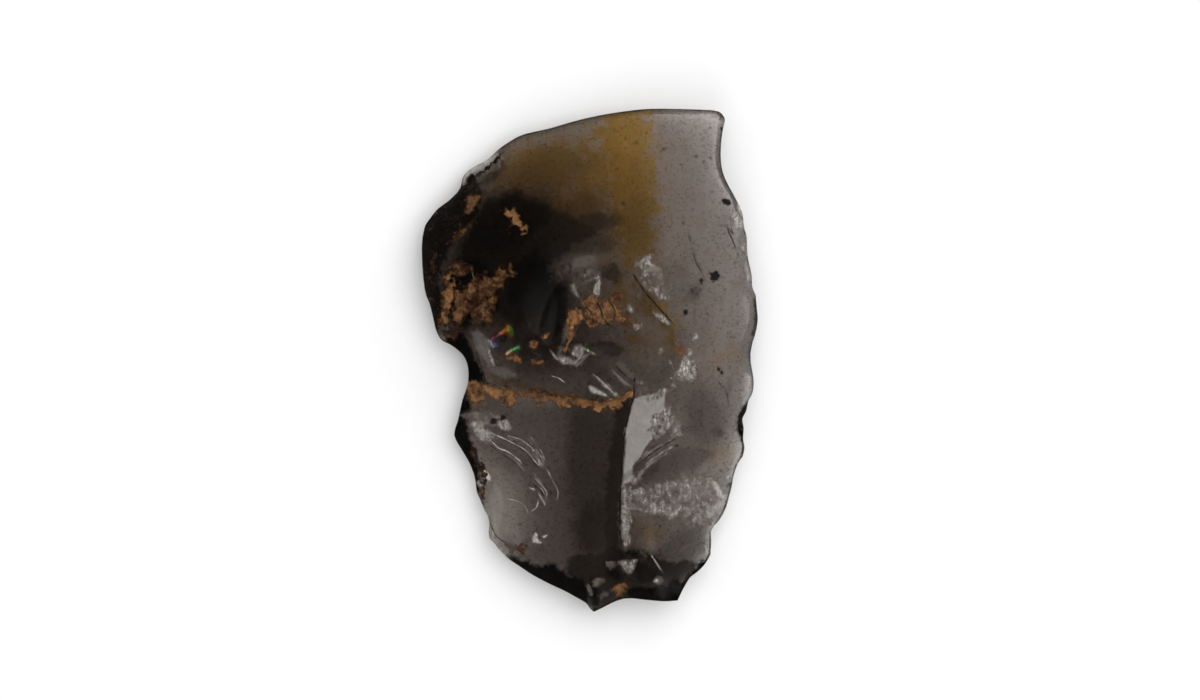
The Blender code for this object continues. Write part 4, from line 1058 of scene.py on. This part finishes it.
def add_finish(data, upper, upper_z):
    """Stores in the mesh how much of each finish its vertices have. Those of the underside, which
    come after the upper ones, have none."""
    film, film_amount = painted_film_colour(upper)
    dirt, tone = field_of(DIRT, upper, DIRT_RAG, DIRT_SOFTNESS)
    frost_and_highlight, crushing = field_of(FROST_AND_HIGHLIGHTS, upper)
    hackle_off, hackle_glint = thin_lines(HACKLES_AND_GLINTS, upper)
    groove_off, groove = thin_lines(CRACKS_AND_SHADE_LINES, upper)
    thickness = upper_z - ventral_height(upper)
    # Painted shade that deepens where the glass is thick
    depth_shade = DEPTH_SHADE * np.clip((thickness - DEPTH_SHADE_FROM) / (DEPTH_SHADE_TO - DEPTH_SHADE_FROM), 0, 1)
    distance, _ = from_outline(upper)
    # Painted shade: a dark line along the outline, and darker glass just inside it
    contour = np.clip(1.6 - distance / CONTOUR_WIDTH, 0, 1)
    contour *= np.clip(0.95 + 0.7 * roughness(upper, 0.7, 41.0), 0, 1)
    edge_shade = EDGE_SHADE * np.clip(1.4 - distance / EDGE_SHADE_WIDTH, 0, 1)
    fields = {
        "dirt": dirt,
        "dirt_tone": tone,
        "frost_and_highlight": frost_and_highlight,
        "crushing": crushing,
        "hackle_glint": hackle_glint,
        "hackle_off": hackle_off,
        "groove": groove,
        "groove_off": groove_off,
        "stain": field_of(STAIN, upper, STAIN_RAG)[0],
        # Smoky glass, with painted shade from the places, the edge and the thickness
        "smoke_and_shade": np.maximum.reduce([field_of(SMOKE_AND_SHADE, upper)[0], edge_shade, depth_shade]),
        # Painted shade: black patches, and the dark line along the outline
        "painted_black_shade": np.maximum(field_of(PAINTED_BLACK_SHADE, upper)[0], contour),
        "speck": speck_field(upper),
        "film": film_amount,
    }
    every = len(data.vertices)
    for name, values in fields.items():
        stored = np.zeros(every, np.float32)
        stored[:len(upper)] = values
        data.attributes.new(name, "FLOAT", "POINT").data.foreach_set("value", stored)
    colours = np.ones((every, 4), np.float32)
    colours[:len(upper), :3] = film
    data.attributes.new("painted_film_colour", "FLOAT_COLOR", "POINT").data.foreach_set("color", colours.ravel())


def flake_mesh():
    """The closed mesh: upper face, underside, and the thin rim between them."""
    edge, traits = outline(RIM_SPACING)
    floor = ventral_height(edge)
    upper, upper_faces = triangulated(edge, dorsal_points(edge))
    lower, lower_faces = triangulated(edge, lattice(VENTRAL_SPACING, VENTRAL_SPACING * 0.5))
    count = len(edge)
    upper_z = dorsal_height(upper)
    upper_z[:count] = floor + traits[:, 0]
    upper_z[count:] = np.maximum(upper_z[count:], ventral_height(upper[count:]) + THINNEST)
    lower_z = ventral_height(lower)
    middle = (edge.max(0) + edge.min(0)) / 2

    mesh = bmesh.new()
    top = [mesh.verts.new((x * MM, y * MM, z * MM)) for (x, y), z in zip(upper - middle, upper_z)]
    bottom = [mesh.verts.new((x * MM, y * MM, z * MM)) for (x, y), z in zip(lower - middle, lower_z)]
    for face in upper_faces:
        mesh.faces.new([top[i] for i in face])
    for face in lower_faces:
        mesh.faces.new([bottom[i] for i in reversed(face)])
    for i in range(count):
        j = (i + 1) % count
        mesh.faces.new((top[i], top[j], bottom[j], bottom[i]))
    bmesh.ops.recalc_face_normals(mesh, faces=mesh.faces)
    data = bpy.data.meshes.new("obsidian_flake")
    mesh.to_mesh(data)
    mesh.free()

    add_finish(data, upper, upper_z)
    return data


# Colours of the glass, of what is in it and of what lies on it, and of painted shade, sheen and highlights
CLEAR_GLASS = (1.0, 0.96, 0.94)
CLOUDED_GLASS = (0.94, 0.90, 0.87)
SMOKE_AND_SHADE_GLASS = (0.030, 0.025, 0.021)
PAINTED_SHADE_BLACK = (0.0006, 0.0005, 0.0004)
STAIN_LIGHT = (1.0, 0.62, 0.105)
STAIN_DARK = (0.92, 0.50, 0.080)
STAIN_SPOT = (0.30, 0.16, 0.050)
CHALK_LIGHT = (0.72, 0.68, 0.63)
CHALK_DARK = (0.36, 0.33, 0.30)
CHALK_SCRATCH = (0.30, 0.27, 0.24)
CHALK_SPOT = (0.16, 0.14, 0.12)
PAINTED_SHEEN = (0.66, 0.63, 0.59)
SKIN = (0.006, 0.004, 0.003)
RED_EARTH = (0.060, 0.021, 0.008)
CLAY = (0.30, 0.140, 0.042)
SPECK = (0.012, 0.010, 0.009)
CRACK_AND_SHADE_DARK = (0.012, 0.008, 0.005)
INNER_COLOUR = (0.24, 0.10, 0.0, 1)
INNER_DENSITY = 135.0
GLASS_IOR = 1.49


class Nodes:
    """Makes the nodes of one shader and passes on their outputs. Where a value is asked for, it is a
    number or another node's output, and a colour is three numbers or an output."""

    def __init__(self, tree):
        self.tree = tree

    def new(self, kind, **settings):
        node = self.tree.nodes.new("ShaderNode" + kind)
        for name, value in settings.items():
            setattr(node, name, value)
        return node

    def feed(self, socket, given):
        if isinstance(given, bpy.types.NodeSocket):
            self.tree.links.new(given, socket)
        elif isinstance(given, tuple):
            socket.default_value = (*given, 1)[:4]
        else:
            socket.default_value = given

    def field(self, name):
        """One of the mesh's fields."""
        return self.new("Attribute", attribute_name=name).outputs["Fac"]

    def maths(self, kind, a, b, clamp=False):
        node = self.new("Math", operation=kind, use_clamp=clamp)
        self.feed(node.inputs[0], a)
        self.feed(node.inputs[1], b)
        return node.outputs[0]

    def times(self, a, b):
        return self.maths("MULTIPLY", a, b)

    def plus(self, a, b):
        return self.maths("ADD", a, b)

    def most(self, a, b):
        return self.maths("MAXIMUM", a, b)

    def line(self, off, strength):
        """A thin line, from how far a point is off it in half widths."""
        return self.times(self.maths("SUBTRACT", 1.0, self.times(off, off), clamp=True), strength)

    def mixed(self, share, a, b):
        node = self.new("Mix", data_type="RGBA")
        self.feed(node.inputs[0], share)
        self.feed(node.inputs[6], a)
        self.feed(node.inputs[7], b)
        return node.outputs[2]

    def ranged(self, value, low, high, to_low=0.0, to_high=1.0):
        node = self.new("MapRange")
        self.feed(node.inputs["Value"], value)
        for name, given in (("From Min", low), ("From Max", high), ("To Min", to_low), ("To Max", to_high)):
            node.inputs[name].default_value = given
        return node.outputs["Result"]

    def noisy(self, size, detail, rough, stretch=1.0, turn=0.0):
        """Noise of that size in millimetres, squeezed across by the stretch, turned in plan."""
        coordinates = self.new("TexCoord")
        mapping = self.new("Mapping")
        mapping.inputs["Scale"].default_value = [s / (size * MM) for s in (1.0, stretch, 1.0)]
        mapping.inputs["Rotation"].default_value = (0, 0, math.radians(turn))
        node = self.new("TexNoise")
        for name, given in (("Scale", 1.0), ("Detail", detail), ("Roughness", rough)):
            node.inputs[name].default_value = given
        self.feed(mapping.inputs["Vector"], coordinates.outputs["Object"])
        self.feed(node.inputs["Vector"], mapping.outputs["Vector"])
        return node.outputs["Fac"]

    def shards(self, size):
        """Random values from 0 to 1, one for each cell of that size."""
        place = self.new("TexCoord").outputs["Object"]
        bend = self.new("TexNoise")
        bend.inputs["Scale"].default_value = 0.7 / (size * MM)
        self.feed(bend.inputs["Vector"], place)
        warped = self.new("VectorMath", operation="MULTIPLY_ADD")
        self.feed(warped.inputs[0], bend.outputs["Color"])
        warped.inputs[1].default_value = [size * MM * 0.9] * 3
        self.feed(warped.inputs[2], place)
        cells = self.new("TexVoronoi")
        cells.inputs["Scale"].default_value = 1 / (size * MM)
        self.feed(cells.inputs["Vector"], warped.outputs[0])
        parts = self.new("SeparateColor")
        self.feed(parts.inputs[0], cells.outputs["Color"])
        return parts.outputs[0]

    def bump(self, height, distance, strength, under=None):
        node = self.new("Bump")
        node.inputs["Distance"].default_value = distance * MM
        node.inputs["Strength"].default_value = strength
        self.feed(node.inputs["Height"], height)
        if under is not None:
            self.feed(node.inputs["Normal"], under)
        return node.outputs["Normal"]


def glass_colour(n, textures, fields):
    """The tint of the glass: grey and mottled, stained, smoky with painted shade, painted black where it
    looks dark, and the rainbow film's painted colours.
    """
    grain, clod, dots = textures["grain"], textures["clod"], textures["dots"]
    glass = n.mixed(n.ranged(textures["cloud"], 0.3, 0.7), CLEAR_GLASS, CLOUDED_GLASS)
    for texture, low, high, share, tint in (
        (textures["band"], 0.42, 0.68, 0.40, (0.76, 0.72, 0.70)),
        (grain, 0.42, 0.64, 0.35, (0.66, 0.58, 0.54)),
        (textures["dust"], 0.42, 0.60, 0.22, (0.60, 0.56, 0.53)),
        (clod, 0.57, 0.68, 0.40, (0.72, 0.58, 0.50)),
        (dots, 0.56, 0.67, 0.75, (0.30, 0.24, 0.20)),
    ):
        glass = n.mixed(n.ranged(texture, low, high, 0.0, share), glass, tint)
    stained = n.mixed(n.ranged(clod, 0.35, 0.65), STAIN_LIGHT, STAIN_DARK)
    stained = n.mixed(n.ranged(dots, 0.54, 0.66, 0.0, 0.60), stained, STAIN_SPOT)
    glass = n.mixed(n.times(fields["stain"], n.ranged(grain, 0.35, 0.65, 1.0, 0.94)), glass, stained)
    # Smoky tint, partly painted shade
    glass = n.mixed(fields["smoke_and_shade"], glass, SMOKE_AND_SHADE_GLASS)
    # Painted shade: near black where the glass looks dark
    glass = n.mixed(fields["painted_black_shade"], glass, PAINTED_SHADE_BLACK)
    film = n.new("Attribute", attribute_name="painted_film_colour").outputs["Color"]
    # Painted reflection: the film's colours and glints
    return n.mixed(n.ranged(fields["film"], 0.0, 0.35), glass, film)


def chalk_and_highlight_colour(n, textures, crushing):
    """Crushed glass, grey and scratched, which also colours the painted highlights, or a smooth painted sheen
    where it is hardly crushed.
    """
    chalk = n.mixed(n.ranged(textures["grain"], 0.38, 0.62), CHALK_LIGHT, CHALK_DARK)
    chalk = n.mixed(n.ranged(textures["scratch"], 0.50, 0.64, 0.0, 0.70), chalk, CHALK_SCRATCH)
    chalk = n.mixed(n.ranged(textures["dots"], 0.56, 0.68, 0.0, 0.85), chalk, CHALK_SPOT)
    return n.mixed(n.ranged(crushing, 0.15, 0.50), PAINTED_SHEEN, chalk)


def dirt_colour(n, textures, tone):
    """Dirt from the dark weathered skin over red earth to light clay, mottled."""
    crust = n.mixed(n.ranged(tone, 0.0, 0.35), SKIN, RED_EARTH)
    mottle = n.plus(n.ranged(textures["clod"], 0.32, 0.68, -0.42, 0.30),
                    n.ranged(textures["shard"], 0.0, 1.0, -0.14, 0.14))
    mottle = n.plus(mottle, n.ranged(textures["grain"], 0.35, 0.65, -0.25, 0.25))
    mottle = n.plus(mottle, n.ranged(textures["dust"], 0.35, 0.65, -0.18, 0.18))
    return n.mixed(n.ranged(n.plus(tone, mottle), 0.25, 1.45), crust, CLAY)


def dirt_cover(n, textures, dirt):
    """How thickly the dirt covers the glass: most in the middle of a place, in flecks at its edge."""
    flecks = n.plus(n.ranged(textures["clod"], 0.30, 0.66, 0.0, 0.55),
                    n.ranged(textures["grit"], 0.32, 0.64, 0.0, 0.45))
    cover = n.maths("SUBTRACT", n.plus(n.times(dirt, 1.40), flecks), 1.0, clamp=True)
    return n.times(cover, n.ranged(dirt, 0.0, 0.25))


def frost_and_highlight_cover(n, textures, fields):
    """How white the glass is: crushed in shards, a hazy painted sheen, or a painted highlight along thin
    ridges.
    """
    dust = textures["dust"]
    crushed = n.times(n.ranged(textures["shard"], 0.15, 0.85, 0.45, 1.15),
                      n.ranged(textures["chip"], 0.10, 0.90, 0.55, 1.15))
    crushed = n.times(crushed, n.ranged(dust, 0.36, 0.60, 0.55, 1.0))
    crushed = n.times(crushed, n.ranged(textures["scratch"], 0.42, 0.62, 1.15, 0.60))
    haze = n.times(n.ranged(textures["clod"], 0.30, 0.70, 0.85, 1.0), n.ranged(dust, 0.36, 0.60, 0.88, 1.0))
    crushing = fields["crushing"]
    either = n.plus(n.times(crushed, crushing), n.times(haze, n.maths("SUBTRACT", 1.0, crushing)))
    # Painted highlight along the hackles
    ridge = n.line(fields["hackle_off"], n.times(fields["hackle_glint"], 0.72))
    return n.maths("MAXIMUM", n.times(fields["frost_and_highlight"], either), ridge, clamp=True)


def obsidian():
    """Smoky volcanic glass, with what lies on it."""
    material = bpy.data.materials.new("obsidian")
    material.use_nodes = True
    n = Nodes(material.node_tree)
    shader = material.node_tree.nodes["Principled BSDF"]
    fields = {name: n.field(name) for name in (
        "dirt", "dirt_tone", "frost_and_highlight", "crushing", "hackle_glint", "hackle_off", "groove", "groove_off",
        "stain", "smoke_and_shade", "painted_black_shade", "speck", "film",
    )}
    textures = {
        "grit": n.noisy(0.16, 4.0, 0.7),
        "dust": n.noisy(0.09, 3.0, 0.7),
        "clod": n.noisy(0.45, 4.0, 0.65),
        "cloud": n.noisy(1.6, 3.0, 0.5),
        "band": n.noisy(0.30, 3.0, 0.6, stretch=0.10),
        "dots": n.noisy(0.20, 2.0, 0.8),
        "grain": n.noisy(0.30, 3.0, 0.65),
        "scratch": n.noisy(0.13, 2.0, 0.6, stretch=0.22, turn=-42),
        "shard": n.shards(0.24),
        "chip": n.shards(0.11),
    }
    dirt = dirt_cover(n, textures, fields["dirt"])
    frost_and_highlight = frost_and_highlight_cover(n, textures, fields)
    # Cracks, and painted shade lines along ridges
    crack_and_shade_line = n.line(fields["groove_off"], fields["groove"])
    speck, film = fields["speck"], fields["film"]

    glass = glass_colour(n, textures, fields)
    # Crushed glass, and painted highlights and sheen
    pale = n.mixed(n.ranged(frost_and_highlight, 0.0, 0.12), glass, chalk_and_highlight_colour(n, textures, fields["crushing"]))
    soiled = n.mixed(n.ranged(dirt, 0.0, 0.45), pale, dirt_colour(n, textures, fields["dirt_tone"]))
    final = n.mixed(n.ranged(speck, 0.0, 0.5), soiled, SPECK)
    final = n.mixed(n.ranged(crack_and_shade_line, 0.0, 0.5), final, CRACK_AND_SHADE_DARK)
    n.feed(shader.inputs["Base Color"], final)

    cover = n.most(n.ranged(dirt, 0.20, 0.90), n.ranged(frost_and_highlight, 0.10, 0.90, 0.0, 0.90))
    cover = n.most(cover, n.ranged(film, 0.3, 1.0, 0.0, 0.7))
    cover = n.most(cover, n.ranged(speck, 0.4, 1.0))
    cover = n.most(cover, n.ranged(crack_and_shade_line, 0.3, 1.0))
    n.feed(shader.inputs["Transmission Weight"], n.maths("SUBTRACT", 1.0, cover, clamp=True))
    gloss = n.most(n.ranged(dirt, 0.50, 0.90, 0.0, 0.60), n.times(frost_and_highlight, 0.45))
    gloss = n.maths("ADD", gloss, n.ranged(textures["cloud"], 0.35, 0.75, 0.02, 0.08), clamp=True)
    n.feed(shader.inputs["Roughness"], gloss)
    shader.inputs["IOR"].default_value = GLASS_IOR

    lumps = n.times(textures["grit"], dirt)
    edges = n.times(n.plus(textures["shard"], n.times(textures["chip"], 0.5)), frost_and_highlight)
    relief = n.bump(n.most(lumps, n.times(edges, fields["crushing"])), 0.06, 0.9)
    n.feed(shader.inputs["Normal"], n.bump(textures["cloud"], 0.02, 0.6, under=relief))

    inner = n.new("VolumeAbsorption")
    inner.inputs["Color"].default_value = INNER_COLOUR
    inner.inputs["Density"].default_value = INNER_DENSITY
    n.feed(material.node_tree.nodes["Material Output"].inputs["Volume"], inner.outputs["Volume"])
    return material


def floor_paper():
    """The floor's matt near white."""
    material = bpy.data.materials.new("floor_paper")
    material.use_nodes = True
    shader = material.node_tree.nodes["Principled BSDF"]
    shader.inputs["Base Color"].default_value = (0.90, 0.90, 0.90, 1)
    shader.inputs["Roughness"].default_value = 0.9
    shader.inputs["Specular IOR Level"].default_value = 0.2
    return material


def added(name, data):
    """A new object in the scene."""
    made = bpy.data.objects.new(name, data)
    bpy.context.scene.collection.objects.link(made)
    return made


def make_flake():
    """The flake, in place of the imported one."""
    data = flake_mesh()
    data.shade_smooth()
    data.set_sharp_from_angle(angle=math.radians(SHARP_ANGLE))
    data.materials.append(obsidian())
    flake = added("obsidian_flake", data)
    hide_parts("flake")
    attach(flake, "root")


def make_floor():
    """A plain square, just below the flake."""
    mesh = bmesh.new()
    bmesh.ops.create_grid(mesh, x_segments=1, y_segments=1, size=FLOOR_HALF_SIDE)
    bmesh.ops.translate(mesh, verts=mesh.verts, vec=(0, 0, -FLOOR_DROP * MM))
    data = bpy.data.meshes.new("floor")
    mesh.to_mesh(data)
    mesh.free()
    data.materials.append(floor_paper())
    floor = added("floor", data)
    floor.visible_glossy = False


def soft_light(name, azimuth, elevation, away, size, power):
    """A large square lamp, that far off in metres, turned to the flake and not mirrored in it."""
    turn, rise = math.radians(azimuth), math.radians(elevation)
    place = Vector((math.cos(turn) * math.cos(rise), math.sin(turn) * math.cos(rise), math.sin(rise))) * away
    lamp = bpy.data.lights.new(name, "AREA")
    lamp.shape = "SQUARE"
    lamp.size = size
    lamp.energy = power
    lamp_object = added(name, lamp)
    lamp_object.location = place
    lamp_object.rotation_euler = (-place).to_track_quat("-Z", "Y").to_euler()
    lamp_object.visible_camera = False
    lamp_object.visible_glossy = False


def make_studio():
    """Even light from all around. The gloss mirrors a dim room with one brighter patch in it."""
    world = bpy.data.worlds.new("studio")
    world.use_nodes = True
    bpy.context.scene.world = world
    n = Nodes(world.node_tree)
    aim = n.new("VectorMath", operation="DOT_PRODUCT")
    n.feed(aim.inputs[0], n.new("TexCoord").outputs["Generated"])
    aim.inputs[1].default_value = Vector(BRIGHT_WAY).normalized()
    fall = n.ranged(aim.outputs["Value"], 0.82, 1.0, *MIRRORED_LIGHT)
    fall.node.interpolation_type = "SMOOTHSTEP"
    seen = n.new("LightPath")
    soft = n.new("Mix")
    pick = n.new("Mix")
    for mix, ray, others, its_own in (
        (soft, "Is Glossy Ray", SOFT_LIGHT, fall),
        (pick, "Is Camera Ray", soft.outputs[0], SEEN_LIGHT),
    ):
        n.feed(mix.inputs[0], seen.outputs[ray])
        n.feed(mix.inputs[2], others)
        n.feed(mix.inputs[3], its_own)
    ground = world.node_tree.nodes["Background"]
    n.feed(ground.inputs["Strength"], pick.outputs[0])
    ground.inputs["Color"].default_value = (1, 1, 1, 1)


def make_camera():
    """The camera, straight above the flake."""
    lens = bpy.data.cameras.new("camera")
    lens.lens = LENS
    lens.sensor_width = SENSOR
    lens.clip_start = 0.001
    camera = added("camera", lens)
    away = VIEW_WIDTH * LENS / SENSOR
    camera.matrix_world = Matrix.Translation([v * MM for v in (*VIEW_CENTRE, away)])
    bpy.context.scene.camera = camera


bpy.context.scene.view_settings.view_transform = "Standard"
make_camera()
make_flake()
make_floor()
soft_light("key", 38, 58, 0.46, 0.60, 1.85)
soft_light("fill", 262, 42, 0.50, 0.40, 0.50)
make_studio()
